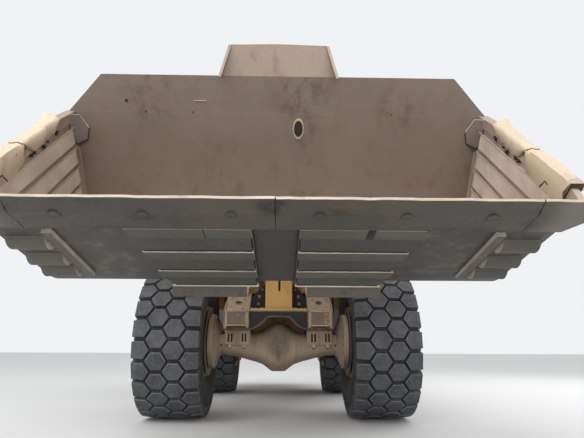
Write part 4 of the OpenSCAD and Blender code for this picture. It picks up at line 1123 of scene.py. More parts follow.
def axle_housing(shape, f, nose):
    """Smooth beam that swells round the final drive and flares into the brake flanges."""
    rings = []
    places = [(-x, *rest) for x, *rest in reversed(AXLE_RINGS[1:])] + list(AXLE_RINGS)
    for x, low, high, deep in places:
        centre, half = (low + high) / 2, (high - low) / 2
        ring = []
        for k in range(40):
            angle = tau * k / 40
            c, s = cos(angle), sin(angle)
            ring.append(spot(f + copysign(abs(c) ** 0.8, c) * deep, x, centre + copysign(abs(s) ** 0.86, s) * half))
        rings.append(ring)
    shape.loft(rings)
    for side in (-1, 1):
        turn = flank_at(f, 0, AXLE_Z, side)
        shape.spun(turn, BRAKE_PROFILE, 56)
        for k in range(18):
            angle = tau * (k + 0.5) / 18
            place = turn @ move(0.295 * cos(angle), 0.295 * sin(angle), 0.79)
            shape.bolt(place @ turned(pi, "X"), 0.013, 0.016, False)
        # Thin dust shield on the brake
        shape.spun(turn, ((0.245, 0.862), (0.4, 0.859), (0.412, 0.852), (0.415, 0.854), (0.413, 0.864), (0.402, 0.869),
            (0.245, 0.87), (0.245, 0.862)), 72, 1)
    # Cover seam ring at the back or front of the housing, and the pinion nose
    turn = axes(spot(f, 0, AXLE_Z), (1, 0, 0), (0, -nose, 0))
    shape.spun(turn, ((0.0, 0.1), (0.19, 0.1), (0.19, 0.262), (0.182, 0.272), (0.15, 0.285), (0.11, 0.33), (0.105, 0.4),
        (0.12, 0.404), (0.12, 0.42), (0.0, 0.42)), 40)
    for k in range(10):
        angle = tau * k / 10
        place = turn @ move(0.166 * cos(angle), 0.166 * sin(angle), 0.272)
        shape.bolt(place, 0.011, 0.012)


def axle_pads(shape):
    """Seats under the frame, with a framed window round each bolt."""
    for side in (-1, 1):
        shape.block(placed(0, side * 0.5, 0.9348), (0.315, 0.376, 0.1896), 0.016)
        for turn in (-1, 1):
            shape.plate(side_at(0, 0, side * (0.5 + turn * 0.157) + 0.012),
                ((-0.185, 0.86), (0.185, 0.86), (0.11, 0.76), (-0.11, 0.76)), 0.024, 0.004)
        for x in PAD_WINDOWS[0 if side < 0 else 1]:
            at = front_at(0.188, x, 0.936)
            for wide in (-1, 1):
                shape.block(at @ move(wide * 0.0395, 0, 0.006), (0.02, 0.15, 0.016), 0.003, 4)
                shape.block(at @ move(0, wide * 0.0625, 0.0058), (0.098, 0.025, 0.0155), 0.003, 4)
            # A dark sheet inside each window frame stands in for the shade in the opening
            shape.block(at @ move(0, 0, 0.0), (0.058, 0.1, 0.003), 0.0, 2)
            shape.disc(axes(spot(0.19, x, 0.885), (1, 0, 0), (0, 0, 1)), 0.0115, 0.102, 12, material=0)
            # Nut and washer of the bolt under the pad
            low = axes(spot(0.165, x, 0.8405), (1, 0, 0), (0, 0, -1))
            shape.spun(low, ((0.0, 0.0), (0.03, 0.0), (0.032, 0.004), (0.03, 0.008), (0.0, 0.008)), 24, 1)
            shape.bolt(low @ move(0, 0, 0.006), 0.021, 0.024, False)
            shape.disc(low @ move(0, 0, 0.028), 0.012, 0.012, 14, top=0.01, material=1)
            shape.disc(front_at(0.189, x, 0.8385), 0.022, 0.014, 18, top=0.016, material=5)


def drive_shaft(shape):
    """Shaft back to the joint between the frames."""
    start, end = -0.4, -1.77
    turn = axes(spot(start, 0, AXLE_Z), (1, 0, 0), (0, 1, 0))
    length = start - end
    shape.spun(turn, ((0.0, 0.0), (0.075, 0.0), (0.075, 0.02), (0.05, 0.03), (0.044, 0.07), (0.044, length - 0.12),
        (0.055, length - 0.1), (0.055, length - 0.03), (0.0, length)), 28, 1)


def axle_fittings(name, body, f, nose):
    """Plug, breathers, oil pipes and clamps on an axle."""
    shape = Shape()
    face = front_at(f + 0.291, 0.004, 0.85) if nose < 0 else rear_at(f - 0.291, 0, 0.85)
    shape.disc(face @ move(0, 0, -0.012), 0.056, 0.014, 32, top=0.05, material=1)
    shape.spun(face, ((0.0, 0.006), (0.014, 0.006), (0.016, 0.011), (0.028, 0.012), (0.03, 0.006), (0.043, 0.005),
        (0.05, -0.004), (0.05, -0.02)), 28, 0)
    shape.disc(face @ move(0, 0, 0.005), 0.0115, 0.009, 6, material=1)
    for turn in (-1, 1):
        outline = ((-0.034, turn * 0.04), (0.034, turn * 0.04), (0.006, turn * 0.1), (-0.006, turn * 0.1))
        shape.plate(face @ move(0, 0, -0.02), outline, 0.018, 0.006, 0)
    # Drain boss at the foot of the housing
    foot = axes(spot(f, 0.0, 0.56), (1, 0, 0), (0, 0, -1))
    shape.spun(foot, ((0.0, 0.018), (0.085, 0.018), (0.094, 0.01), (0.1, -0.03), (0.0, -0.03)), 32, 0)
    for side in (-1, 1):
        # Breather on the tube
        place = axes(spot(f - 0.06 * nose, side * 0.7, 0.985), (1, 0, 0), (0, 0.5 * nose, 0.86))
        shape.bolt(place, 0.016, 0.03, material=2)
        place = front_at(f + 0.138, side * 0.7, 0.85) if nose < 0 else rear_at(f - 0.138, side * 0.7, 0.85)
        shape.bolt(place, 0.015, 0.014, material=2)
        # Brake pipe along the top of the tube
        line = [(0.0, 1.115), (0.1, 1.085), (0.2, 1.022), (0.33, 0.995), (0.345, 0.99), (0.68, 0.995), (0.73, 1.05),
            (0.765, 1.16), (0.785, 1.2)]
        back = 0.205 * nose
        deep = (0.0, 0.02, 0.1, 1.0, 1.0, 1.0, 0.6, 0.3, 0.1)
        shape.pipe([spot(f + back * d, side * x, z + 0.012 - 0.06 * (d == 1.0)) for (x, z), d in zip(line, deep)],
            0.0075, 8, 3)
        shape.block(placed(f + back * 0.98, side * 0.5, 0.945), (0.03, 0.022, 0.036), 0.004, 1)
    shape.disc(placed(f, 0, 1.108), 0.022, 0.03, 6, bevel=0.003, material=1)
    shape.finish(name + "_fittings", body, "cast steel rusty hose")


class LOADER_OT_axles(bpy.types.Operator):
    """Casts the two axle housings, with pads, bolts and dust shields"""
    bl_idname = "loader.axles"
    bl_label = "Axles"

    def execute(self, context):
        for name, body, f, nose in (("front_axle", "front", 0.0, -1), ("rear_axle", "root", -WHEELBASE, 1)):
            shape = Shape()
            axle_housing(shape, f, nose)
            if nose < 0:
                axle_pads(shape)
                drive_shaft(shape)
            else:
                shape.block(placed(f, 0, 1.07), (0.6, 0.34, 0.219), 0.02)
                for x in (-0.24, 0.24):
                    for y in (-0.12, 0.12):
                        shape.bolt(placed(f - y, x, 1.155), 0.018, 0.02)
            piece = shape.finish(name + "_casting", body, "cast steel burnt moulding weld_tan lip", 0.55)
            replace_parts(piece, name)
            axle_fittings(name, body, f, nose)
        return {"FINISHED"}


def nose_plates():
    """Block, cheeks, shelf, side plates, cover rings and the dark arch of the nose."""
    shape = Shape()
    # Ochre centre block, slotted from its top
    outline = ((-0.1605, 1.2625), (0.1605, 1.2625), (0.1605, 1.602), (0.121, 1.652), (0.02, 1.652), (0.02, 1.49),
        (0.007, 1.472), (-0.006, 1.49), (-0.006, 1.652), (-0.121, 1.652), (-0.1605, 1.602))
    shape.plate(front_at(0.3802), outline, 0.024, 0.004, 0)
    # A dark block behind the slot stands in for the shade inside it
    shape.block(placed(0.375, 0.007, 1.56), (0.03, 0.014, 0.17), 0.0, 1)
    for side in (-1, 1):
        # Dark cheeks beside the block, dark plates that also stand in for the shade there, with bolts that shine
        shape.plate(front_at(0.29), ((side * 0.163, 1.2625), (side * 0.34, 1.2625), (side * 0.34, 1.39),
            (side * 0.3, 1.44), (side * 0.163, 1.58)), 0.02, 0.003, 1)
        for x, z in ((0.238, 1.42), (0.245, 1.33)):
            shape.bolt(front_at(0.31, side * x, z), 0.014, 0.016, material=2)
        shape.bolt(front_at(0.305, side * 0.2, 1.505), 0.015, 0.02, material=2)
        # Shelf edge and its bolts
        for x in (0.2, 0.27, 0.315):
            shape.bolt(placed(0.48, side * x, 1.262), 0.011, 0.01, material=2)
        # Frames round the pad fronts
        for x, z, wide, high in ((0.487, 1.064, 0.24, 0.014), (0.6, 1.145, 0.014, 0.176), (0.487, 1.226, 0.24, 0.014),
                (0.374, 1.145, 0.014, 0.176)):
            shape.block(front_at(0.5532, side * x, z), (wide, high, 0.012), 0.004, 3)
        # Bright worn edges of the side plates
        edge = [(0.552, 1.04), (0.553, 1.2), (0.535, 1.225), (0.36, 1.337), (0.2, 1.438)]
        for x in (0.612, 0.36):
            shape.pipe(line_at(side * x, edge), 0.009, 8, 3)
        outer = ((0.5, 1.032), (0.53, 1.1), (0.535, 1.18), (0.5, 1.26), (0.42, 1.325), (0.3, 1.36), (0.18, 1.37),
            (0.1, 1.37), (0.1, 1.032))
        x1 = 0.637 if side > 0 else -0.625
        shape.plate(side_at(0, 0, x1), outer, 0.012, 0.003, 4)
        shape.pipe(line_at(side * 0.631, outer[:8]), 0.006, 8, 3)
        # Ring round the hole of each sloped cover
        middle = spot(0.375, side * 0.48, 1.342)
        slope_up = axes(middle, (1, 0, 0), (0, -sin(radians(32.15)), cos(radians(32.15))))
        shape.spun(slope_up, ((0.038, 0.002), (0.04, 0.006), (0.047, 0.006), (0.05, -0.002)), 32, 4)
        shape.disc(slope_up @ move(0, 0, -0.09), 0.0378, 0.055, 24, material=1)
        for x, f in ((0.42, 0.5), (0.56, 0.46), (0.41, 0.3), (0.57, 0.28)):
            z = 1.23 + (0.55 - f) * 0.22 / 0.35
            shape.bolt(axes(spot(f, side * x, z - 0.001), (1, 0, 0), (0, -0.532, 0.8466)), 0.011, 0.009, material=2)
    # Dark cover over the arched cross plate, with a pale top line
    arch = ((-0.343, 1.02), (-0.29, 1.03), (-0.22, 1.075), (-0.14, 1.158), (-0.1, 1.17), (0.1, 1.17), (0.14, 1.158),
        (0.22, 1.075), (0.29, 1.03), (0.343, 1.02), (0.343, 1.222), (-0.343, 1.222))
    shape.plate(front_at(0.5103), arch, 0.012, 0.003, 1)
    lip = [spot(0.524, x, z) for x, z in arch[:10]]
    shape.pipe(lip, 0.007, 8, 5)
    shape.block(placed(0.517, 0, 1.2265), (0.67, 0.012, 0.008), 0.002, 4)
    shape.block(placed(0.523, 0, 1.2475), (0.66, 0.007, 0.026), 0.002, 6)
    shape.block(placed(0.4, 0, 1.2645), (0.44, 0.24, 0.005), 0.001, 6)
    shape.finish("nose_plates", "front", "block burnt steel weld_tan nose dark paint")


class LOADER_OT_nose(bpy.types.Operator):
    """Dresses the nose: dark arch, ochre block with its slot, shelf, framed pad fronts and side plates"""
    bl_idname = "loader.nose"
    bl_label = "Front frame nose"

    def execute(self, context):
        nose_plates()
        return {"FINISHED"}


# Linkage


ARM_FOOT = (-0.9, 2.3)
ARM_SLOPE = atan2(BUCKET_HINGE[1] - ARM_FOOT[1], BUCKET_HINGE[0] - ARM_FOOT[0])
LEVER_PIVOT = (1.05, 2.06)
LEVER_TOP = (0.9526, 2.7532)
LEVER_FOOT = (1.6236, 1.5615)
LIFT_FOOT = (-1.15, 0.85)
LIFT_HEAD = (-0.1006, 2.0121)


def arm_point(t, n, x):
    """A point on the lift arm: t along the line of its hinges, n above it."""
    c, s = cos(ARM_SLOPE), sin(ARM_SLOPE)
    return spot(ARM_FOOT[0] + t * c - n * s, x, ARM_FOOT[1] + t * s + n * c)


def along(start, end, x):
    """Local Z from one side-plane point to another, local X across."""
    a, b = spot(start[0], x, start[1]), spot(end[0], x, end[1])
    return axes(a, (1, 0, 0), b - a)


def keeper(shape, point, side, radius, bolts=4):
    """Pin cap held by bolts, on a pin that lies across."""
    place = facing(point, (side, 0, 0))
    shape.spun(place, ((0.0, 0.014), (radius * 0.6, 0.014), (radius * 0.66, 0.009), (radius, 0.009),
        (radius * 1.04, 0.004), (radius * 1.04, -0.002)), 36, 1)
    shape.bolts(place, bolts, radius * 0.82, 0.008, radius * 0.11, radius * 0.11, shift=0.5)


def weld_ring(shape, place, radius, size, material):
    """A closed weld bead round local Z."""
    profile = [(radius + size * cos(a), size * sin(a)) for a in (tau * k / 6 for k in range(7))]
    shape.spun(place, profile, 56, material)


def cylinder_dress(shape, place, radius, length, rod, back, grease):
    """Gland, its bolts, ports and a feed pipe on a hydraulic cylinder that stands on local Z."""
    shape.spun(place, ((rod + 0.002, length + 0.001), (rod + 0.01, length + 0.012), (radius * 0.78, length + 0.012),
        (radius * 0.86, length + 0.004), (radius * 0.86, length - 0.004)), 40, 1)
    shape.bolts(place, 8, radius * 0.93, length, radius * 0.09, radius * 0.1, False, shift=0.5)
    for z in (length - 0.09, back + 0.06):
        weld_ring(shape, place @ move(0, 0, z), radius + 0.001, 0.006, 0)
    for z in (length - 0.045, back + 0.1):
        port = place @ move(0, -radius - 0.012, z)
        shape.block(port, (0.055, 0.05, 0.06), 0.006, 0)
        for x in (-0.018, 0.018):
            for up in (-0.02, 0.02):
                shape.bolt(port @ move(x, -0.024, up) @ turned(pi / 2, "X"), 0.005, 0.005, False)
    line = [(0, -radius - 0.03, length - 0.045), (0, -radius - 0.052, length - 0.07),
        (0, -radius - 0.052, length - 0.12), (0.0, -radius - 0.03, length - 0.2), (0.0, -radius - 0.03, back + 0.19),
        (0, -radius - 0.052, back + 0.15), (0, -radius - 0.03, back + 0.1)]
    shape.pipe(line_in(place, line), 0.012, 10, 3)
    for z in (length * 0.4, length * 0.65):
        shape.block(place @ move(0, -radius - 0.016, z), (0.05, 0.034, 0.03), 0.004, 2)
    shape.bolt(place @ move(0, 0, grease), 0.008, 0.02)


def arm_fittings():
    """Pin caps, weld rings, stiffeners and pipes on the arms."""
    shape = Shape()
    for side in (-1, 1):
        keeper(shape, arm_point(0.845, -0.089, side * 0.7535), side, 0.076)
        keeper(shape, spot(LEVER_PIVOT[0], side * 0.178, LEVER_PIVOT[1]), side, 0.085, 5)
        for x in (0.645, 0.745):
            way = 1 if x > 0.7 else -1
            for t, n, r in ((0.0, 0.0, 0.152), (2.8935, 0.0, 0.132)):
                place = facing(arm_point(t, n, side * x), (side * way, 0, 0))
                weld_ring(shape, place, r, 0.007, 0)
            weld_ring(shape, facing(arm_point(1.64, 0.225, side * x), (side * way, 0, 0)), 0.116, 0.005, 0)
        for x in (0.136, 0.178):
            weld_ring(shape, facing(arm_point(1.64, 0.225, side * x), (side, 0, 0)), 0.116, 0.004, 0)
        # Stiffener along the lower edge of each arm, outside
        ribs = [arm_point(t, n, side * 0.745) for t, n in ((0.3, 0.05), (1.0, 0.12), (1.7, 0.13), (2.3, 0.06))]
        shape.loft([[p + Vector((0, 0, z)) + Vector((side * x, 0, 0))
            for x, z in ((-0.002, -0.03), (0.012, -0.026), (0.012, 0.026), (-0.002, 0.03))] for p in ribs], 0)
        # Steel feed pipes along the inside of each arm, with clamps
        for n in (0.12, 0.17):
            line = [arm_point(t, n + dn, side * 0.627) for t, dn in ((0.28, 0.0), (0.62, 0.03), (1.0, 0.07),
                (1.45, 0.08))]
            shape.pipe(line, 0.013, 10, 3)
        for t in (0.4, 0.78, 1.15, 1.4):
            shape.block(axes(arm_point(t, 0.19 if t > 0.7 else 0.165, side * 0.63), (1, 0, 0), (0, 0.24, 1)),
                (0.036, 0.05, 0.12), 0.005, 2)
        # Grease nipples over the front hinge
        for k in range(3):
            shape.bolt(Matrix.Translation(arm_point(2.72 + 0.05 * k, 0.128 - 0.01 * k, side * 0.695)), 0.008, 0.016)
    shape.finish("lift_arm_fittings", "lift_arm", "paint steel dark hose")


def lever_fittings():
    """Pin caps, the pivot's weld ring and edge bars on the lever."""
    shape = Shape()
    for side in (-1, 1):
        for point in (LEVER_TOP, LEVER_FOOT):
            keeper(shape, spot(point[0], side * 0.13, point[1]), side, 0.056)
        place = flank_at(LEVER_PIVOT[0], side * 0.1205, LEVER_PIVOT[1], side)
        weld_ring(shape, place, 0.136, 0.008, 0)
        # Long edge bars of the lever's plates
        for start, end, shift in ((LEVER_PIVOT, LEVER_FOOT, 0.16), (LEVER_PIVOT, LEVER_TOP, 0.2)):
            turn = along(start, end, side * 0.121)
            shape.block(turn @ move(0, 0, shift + 0.2), (0.008, 0.05, 0.3), 0.004, 0)
    shape.finish("lever_fittings", "lever", "paint steel")


def barrel_fittings():
    """Glands, ports and pipes on the barrels of all cylinders."""
    shape = Shape()
    for side in (-1, 1):
        cylinder_dress(shape, along(LIFT_FOOT, LIFT_HEAD, side * 0.541), 0.092, 1.16, 0.05, 0.14, 0.1)
    shape.finish("lift_barrel_fittings", "lift_barrels", "paint steel dark hose")
    shape = Shape()
    cylinder_dress(shape, along(ARM_FOOT, LEVER_TOP, 0.0), 0.11, 1.59, 0.058, 0.16, 0.11)
    shape.finish("tilt_barrel_fittings", "tilt_barrel", "paint steel dark hose")
    for side, name in ((1, "steer_barrel_l"), (-1, "steer_barrel_r")):
        shape = Shape()
        start = spot(-2.5, side * 0.33, 1.1)
        way = spot(-1.3, side * 0.48, 1.1) - start
        place = axes(start, (0, 0, 1), way)
        for z in (0.19, 0.66):
            shape.block(place @ move(0.055, 0, z), (0.03, 0.03, 0.036), 0.004, 0)
        shape.pipe([place @ Vector((x, 0, z)) for x, z in ((0.062, 0.66), (0.068, 0.64), (0.068, 0.21), (0.062, 0.19))],
            0.006, 8, 1)
        shape.finish(name + "_fittings", name, "paint hose")


def tower_fittings():
    """Pin caps, bolts, pipes and lamp guards on the tower of the front frame."""
    shape = Shape()
    for side in (-1, 1):
        keeper(shape, spot(ARM_FOOT[0], side * 0.8, ARM_FOOT[1]), side, 0.105, 6)
        keeper(shape, spot(LIFT_FOOT[0], side * 0.69, LIFT_FOOT[1]), side, 0.075)
        keeper(shape, spot(ARM_FOOT[0], side * 0.132, ARM_FOOT[1]), side, 0.075)
        for z in (1.32, 1.45, 1.58, 1.71, 1.84):
            shape.bolt(flank_at(-1.24 + (z - 1.3) * 0.1, side * 0.8, z, side), 0.016, 0.018)
        tower = ((-1.335, 1.255), (-1.335, 2.095), (-1.12, 2.448), (-0.97, 2.512), (-0.83, 2.512), (-0.72, 2.45))
        for x in (0.63, 0.76, 0.8):
            shape.pipe(line_at(side * (x - 0.002), tower), 0.007, 6, 0)
        # Pipes behind the tower's window
        shape.pipe(line_at(side * 0.27, ((-1.2, 1.56), (-1.2, 1.9), (-1.16, 2.02))), 0.016, 10, 2)
        shape.pipe(line_at(side * 0.2, ((-1.2, 1.56), (-1.2, 1.86), (-1.16, 2.0))), 0.016, 10, 2)
        # Bolts along the fender's edge, and the lamp's guard
        for k in range(6):
            angle = radians(98 + k * 9)
            point = spot(0.985 * cos(angle), side * 1.572, 0.9 + 0.962 * sin(angle))
            shape.bolt(facing(point, (side, 0, 0)), 0.01, 0.01)
        lamp = front_at(-0.125, side * 0.95, 2.2)
        shape.spun(lamp, ((0.0, 0.012), (0.03, 0.0105), (0.06, 0.005), (0.071, -0.002)), 36, 3)
        shape.spun(lamp, ((0.07, -0.004), (0.072, 0.008), (0.08, 0.01), (0.086, 0.004), (0.086, -0.014)), 36, 4)
        for x in (-0.045, 0.0, 0.045):
            shape.pipe([lamp @ Vector((x, y, z)) for y, z in ((-0.1, 0.0), (-0.085, 0.03), (0.085, 0.03), (0.1, 0.0))],
                0.004, 6, 4)
    shape.block(placed(-1.2, 0, 1.75), (0.5, 0.1, 0.3), 0.02, 4)
    for x in (-0.18, -0.06, 0.06, 0.18):
        for z in (1.66, 1.84):
            shape.bolt(front_at(-1.15, x, z), 0.012, 0.014)
    shape.finish("front_frame_fittings", "front", "nose steel hose lens dark")


class LOADER_OT_linkage(bpy.types.Operator):
    """Adds pin caps, welds, pipes and glands to the arms, the lever and the cylinders"""
    bl_idname = "loader.linkage"
    bl_label = "Linkage fittings"

    def execute(self, context):
        arm_fittings()
        lever_fittings()
        barrel_fittings()
        tower_fittings()
        return {"FINISHED"}


# Wheels


def rim_fittings(end, f, side, letter):
    """Nuts, hub bolts, the lock ring and the valve of one wheel."""
    shape = Shape()
    hub = flank_at(f, side * 1.215, AXLE_Z, side)
    for k in range(20):
        turn = hub @ turned(tau * k / 20)
        nut = turn @ move(0.25, 0, 0.047)
        shape.bolt(nut, 0.017, 0.026)
        shape.disc(nut @ move(0, 0, 0.026), 0.009, 0.014, 12, top=0.008, material=1)
    shape.bolts(hub, 12, 0.125, 0.159, 0.011, 0.012, shift=0.5)
    shape.bolts(hub, 6, 0.07, 0.189, 0.008, 0.009, False)
    # Rounded steps of the hub cover, the split lock ring and the bead flange
    shape.spun(hub, ((0.151, 0.14), (0.156, 0.146), (0.156, 0.156), (0.15, 0.163), (0.143, 0.163)), 56, 0)
    shape.spun(hub, ((0.0, 0.2), (0.03, 0.2), (0.04, 0.194), (0.04, 0.186)), 28, 1)
    shape.spun(hub, ((0.372, 0.316), (0.376, 0.33), (0.39, 0.334), (0.402, 0.33), (0.404, 0.318)), 72, 0)
    shape.spun(hub, ((0.406, 0.318), (0.409, 0.333), (0.42, 0.337), (0.429, 0.333), (0.431, 0.318)), 72, 2)
    shape.block(hub @ turned(0.7) @ move(0.389, 0, 0.328), (0.034, 0.012, 0.016), 0.002, 3)
    weld_ring(shape, hub @ move(0, 0, 0.07), 0.331, 0.006, 2)
    # Valve stem, clamped to the rim
    valve = hub @ turned(2.2)
    shape.pipe(line_in(valve, ((0.338, 0, 0.12), (0.32, 0, 0.16), (0.318, 0, 0.24), (0.335, 0, 0.29))), 0.006, 8, 1)
    shape.disc(valve @ move(0.335, 0, 0.285), 0.008, 0.022, 10, material=1)
    shape.finish("rim_fittings_" + end + letter, "wheel_" + end + letter, "rim steel dark burnt")


class LOADER_OT_wheels(bpy.types.Operator):
    """Adds nuts, hub bolts, the lock ring and the valve to each rim"""
    bl_idname = "loader.wheels"
    bl_label = "Wheel fittings"

    def execute(self, context):
        for end, f in (("f", 0.0), ("r", -WHEELBASE)):
            for side, letter in ((1, "l"), (-1, "r")):
                rim_fittings(end, f, side, letter)
        return {"FINISHED"}


# Cab


def frame_round(shape, at, wide, high, bar, thick, material):
    """A raised rectangular frame, centred on the place, with its bars inside the given size."""
    for turn in (-1, 1):
        shape.block(at @ move(turn * (wide - bar) / 2, 0, thick / 2), (bar, high, thick), bar * 0.3, material)
        shape.block(at @ move(0, turn * (high - bar) / 2, thick / 2 - 0.0004), (wide, bar, thick), bar * 0.3, material)


def work_lamp(shape, at, wide, high):
    """Lamp box with a rim and a ribbed lens that looks along local Z."""
    shape.block(at @ move(0, 0, -0.03), (wide, high, 0.07), 0.012, 1)
    frame_round(shape, at @ move(0, 0, 0.002), wide, high, 0.014, 0.01, 1)
    shape.block(at @ move(0, 0, 0.006), (wide - 0.026, high - 0.026, 0.006), 0.002, 2)
    shape.block(at @ move(0, -high / 2 - 0.012, -0.03), (0.03, 0.03, 0.02), 0.003, 1)


def cab_fittings():
    """Gaskets, mirrors, lamps, rails, wipers, louvres and roof panels."""
    shape = Shape()
    front, rear = front_at(-1.999, 0, 2.9), rear_at(-3.401, 0, 3.075)
    frame_round(shape, front, 1.52, 1.18, 0.035, 0.012, 1)
    frame_round(shape, rear, 1.42, 0.83, 0.035, 0.012, 1)
    for side in (-1, 1):
        frame_round(shape, flank_at(-3.15, side * 0.821, 2.985, side), 0.38, 1.01, 0.03, 0.01, 1)
        if side < 0:
            frame_round(shape, flank_at(-2.49, side * 0.821, 2.935, side), 0.86, 1.11, 0.03, 0.01, 1)
        # Mirror on a bent arm
        arm = line_on(side, ((-2.04, 0.82, 3.3), (-1.96, 0.9, 3.32), (-1.9, 1.16, 3.32), (-1.9, 1.19, 3.26),
            (-1.9, 1.19, 2.98), (-1.93, 1.15, 2.95), (-2.0, 0.9, 2.95), (-2.04, 0.82, 2.95)))
        shape.pipe(arm, 0.012, 10, 1)
        mirror = axes(spot(-1.93, side * 1.19, 3.12), (1, 0, 0), (side * -0.25, 1, 0))
        shape.block(mirror @ move(0, 0, -0.004), (0.2, 0.34, 0.05), 0.02, 1)
        shape.block(mirror @ move(0, 0, 0.022), (0.17, 0.31, 0.004), 0.001, 3)
        # Lamps under the roof, at the front and the rear
        for x in (0.45, 0.68):
            work_lamp(shape, front_at(-1.925, side * x, 3.62), 0.15, 0.1)
        work_lamp(shape, rear_at(-3.475, side * 0.6, 3.62), 0.15, 0.1)
        # Grab rails beside the front corners, and gutter strips under the roof
        rail = line_on(side, ((-2.03, 0.82, 2.3), (-2.03, 0.88, 2.32), (-2.03, 0.88, 2.88), (-2.03, 0.82, 2.9)))
        shape.pipe(rail, 0.014, 10, 1)
        shape.block(placed(-2.7, side * 0.845, 3.568), (0.05, 1.34, 0.02), 0.006, 1)
        # Floor and corner mouldings, with bolts
        shape.block(placed(-2.7, side * 0.824, 1.985), (0.012, 1.39, 0.05), 0.003, 1)
        for f in (-2.07, -2.3, -2.6, -2.93, -3.3):
            shape.bolt(flank_at(f, side * 0.83, 1.985, side), 0.009, 0.009, material=4)
        for z in (2.05, 2.2):
            shape.bolt(front_at(-2.0, side * 0.76, z), 0.011, 0.011, material=4)
        # Wiper on each half of the windscreen
        shape.pipe([spot(-1.975, side * x, z) for x, z in ((0.3, 2.27), (0.36, 2.6), (0.4, 2.85))], 0.009, 8, 1)
        shape.block(front_at(-1.982, side * 0.395, 2.86) @ turned(side * 0.1), (0.014, 0.56, 0.02), 0.004, 1)
        shape.disc(front_at(-1.998, side * 0.3, 2.27), 0.03, 0.03, 20, bevel=0.005, material=1)
    shape.block(placed(-1.955, 0, 3.552), (1.5, 0.05, 0.016), 0.005, 1)
    # Louvres under the windscreen, rear wiper, roof hatch and slats of the air intake
    for k in range(6):
        shape.block(axes(spot(-1.998, 0, 2.06 + k * 0.035), (1, 0, 0), (0, -0.8, 0.6)), (0.9, 0.03, 0.006), 0.002, 0)
    shape.pipe([spot(-3.425, x, z) for x, z in ((0.0, 2.66), (0.08, 2.8), (0.16, 3.05))], 0.008, 8, 1)
    shape.block(rear_at(-3.418, 0.16, 3.05), (0.014, 0.46, 0.018), 0.004, 1)
    shape.block(placed(-2.7, 0, 3.722), (0.7, 0.62, 0.016), 0.006, 0)
    for x in (-0.62, 0.62):
        shape.block(placed(-2.72, x, 3.719), (0.05, 1.1, 0.02), 0.006, 0)
    for k in range(7):
        shape.block(rear_at(-3.472, -0.2 + k * 0.066, 3.62), (0.04, 0.1, 0.01), 0.003, 1)
    shape.finish("cab_fittings", "root", "paint moulding lens chrome steel")


def door_fittings():
    """Gaskets, handles and lock of the cab's door, and the rail inside it."""
    shape = Shape()
    frame_round(shape, flank_at(-2.49, 0.8205, 2.81, 1), 0.7, 1.25, 0.03, 0.009, 1)
    frame_round(shape, flank_at(-2.49, 0.8202, 2.75, 1), 0.79, 1.48, 0.012, 0.004, 1)
    shape.pipe(line_on(1, ((-2.13, 0.82, 2.28), (-2.13, 0.865, 2.3), (-2.13, 0.865, 2.62), (-2.13, 0.82, 2.64))), 0.011,
        10, 1)
    shape.block(flank_at(-2.13, 0.822, 2.16, 1), (0.05, 0.16, 0.012), 0.004, 1)
    shape.disc(flank_at(-2.13, 0.828, 2.12, 1), 0.013, 0.008, 18, material=2)
    shape.pipe(line_at(0.838, ((-2.115, 2.19), (-2.19, 2.185))), 0.008, 8, 2)
    shape.pipe(line_at(0.79, ((-2.17, 2.5), (-2.78, 2.5))), 0.011, 8, 1)
    shape.finish("door_fittings", "door", "paint moulding steel")


class LOADER_OT_cab(bpy.types.Operator):
    """Adds gaskets, wipers, mirrors, lamps, rails and handles to the cab and its door"""
    bl_idname = "loader.cab"
    bl_label = "Cab fittings"

    def execute(self, context):
        cab_fittings()
        door_fittings()
        return {"FINISHED"}


# Rear


def grille_mesh():
    """Wire mesh behind the slats, latch and corner bolts."""
    shape = Shape()
    behind = rear_at(-5.812, 0, 2.06)
    for k in range(31):
        shape.block(behind @ move((k - 15) * 0.0405, 0, 0), (0.004, 0.87, 0.004))
    for k in range(22):
        shape.block(behind @ move(0, (k - 10.5) * 0.04, 0.003), (1.24, 0.004, 0.004))
    face = rear_at(-5.8605, 0, 2.045)
    frame_round(shape, face, 1.41, 1.06, 0.02, 0.006, 0)
    frame_round(shape, face, 1.275, 0.93, 0.02, 0.008, 0)
    for x in (-0.67, -0.34, 0.0, 0.34, 0.67):
        for z in (-0.5, 0.5):
            shape.bolt(face @ move(x, z, 0.001), 0.011, 0.01)
    latch = face @ move(-0.665, -0.08, 0.001)
    shape.block(latch, (0.06, 0.13, 0.016), 0.006, 1)
    shape.pipe(line_in(latch, ((0, 0.03, 0.01), (0, 0.03, 0.03), (0, -0.05, 0.034))), 0.008, 8, 1)
    shape.finish("grille_mesh", "grille_door", "dark steel")


def engine_door_fittings():
    """Latches and raised seams on the engine doors."""
    for side, name in ((1, "engine_door_l"), (-1, "engine_door_r")):
        shape = Shape()
        face = axes(spot(-4.35, side * 0.7203, 2.22), (0, -side, 0), (side, 0, 0))
        frame_round(shape, face, 1.07, 0.41, 0.016, 0.006, 0)
        for x in (-0.4, 0.4):
            latch = face @ move(x, -0.18, 0.004)
            shape.disc(latch, 0.024, 0.008, 24, bevel=0.003, material=1)
            shape.block(latch @ move(0, 0, 0.01), (0.036, 0.008, 0.008), 0.002, 1)
        for k in range(10):
            shape.block(face @ move(-0.4625 + k * 0.095, 0, 0.003), (0.006, 0.25, 0.006), 0.001, 0)
        shape.pipe(line_in(face, ((-0.09, -0.165, 0.0), (-0.08, -0.165, 0.03), (0.08, -0.165, 0.03),
            (0.09, -0.165, 0.0))), 0.007, 8, 1)
        shape.finish(name + "_fittings", name, "paint steel")


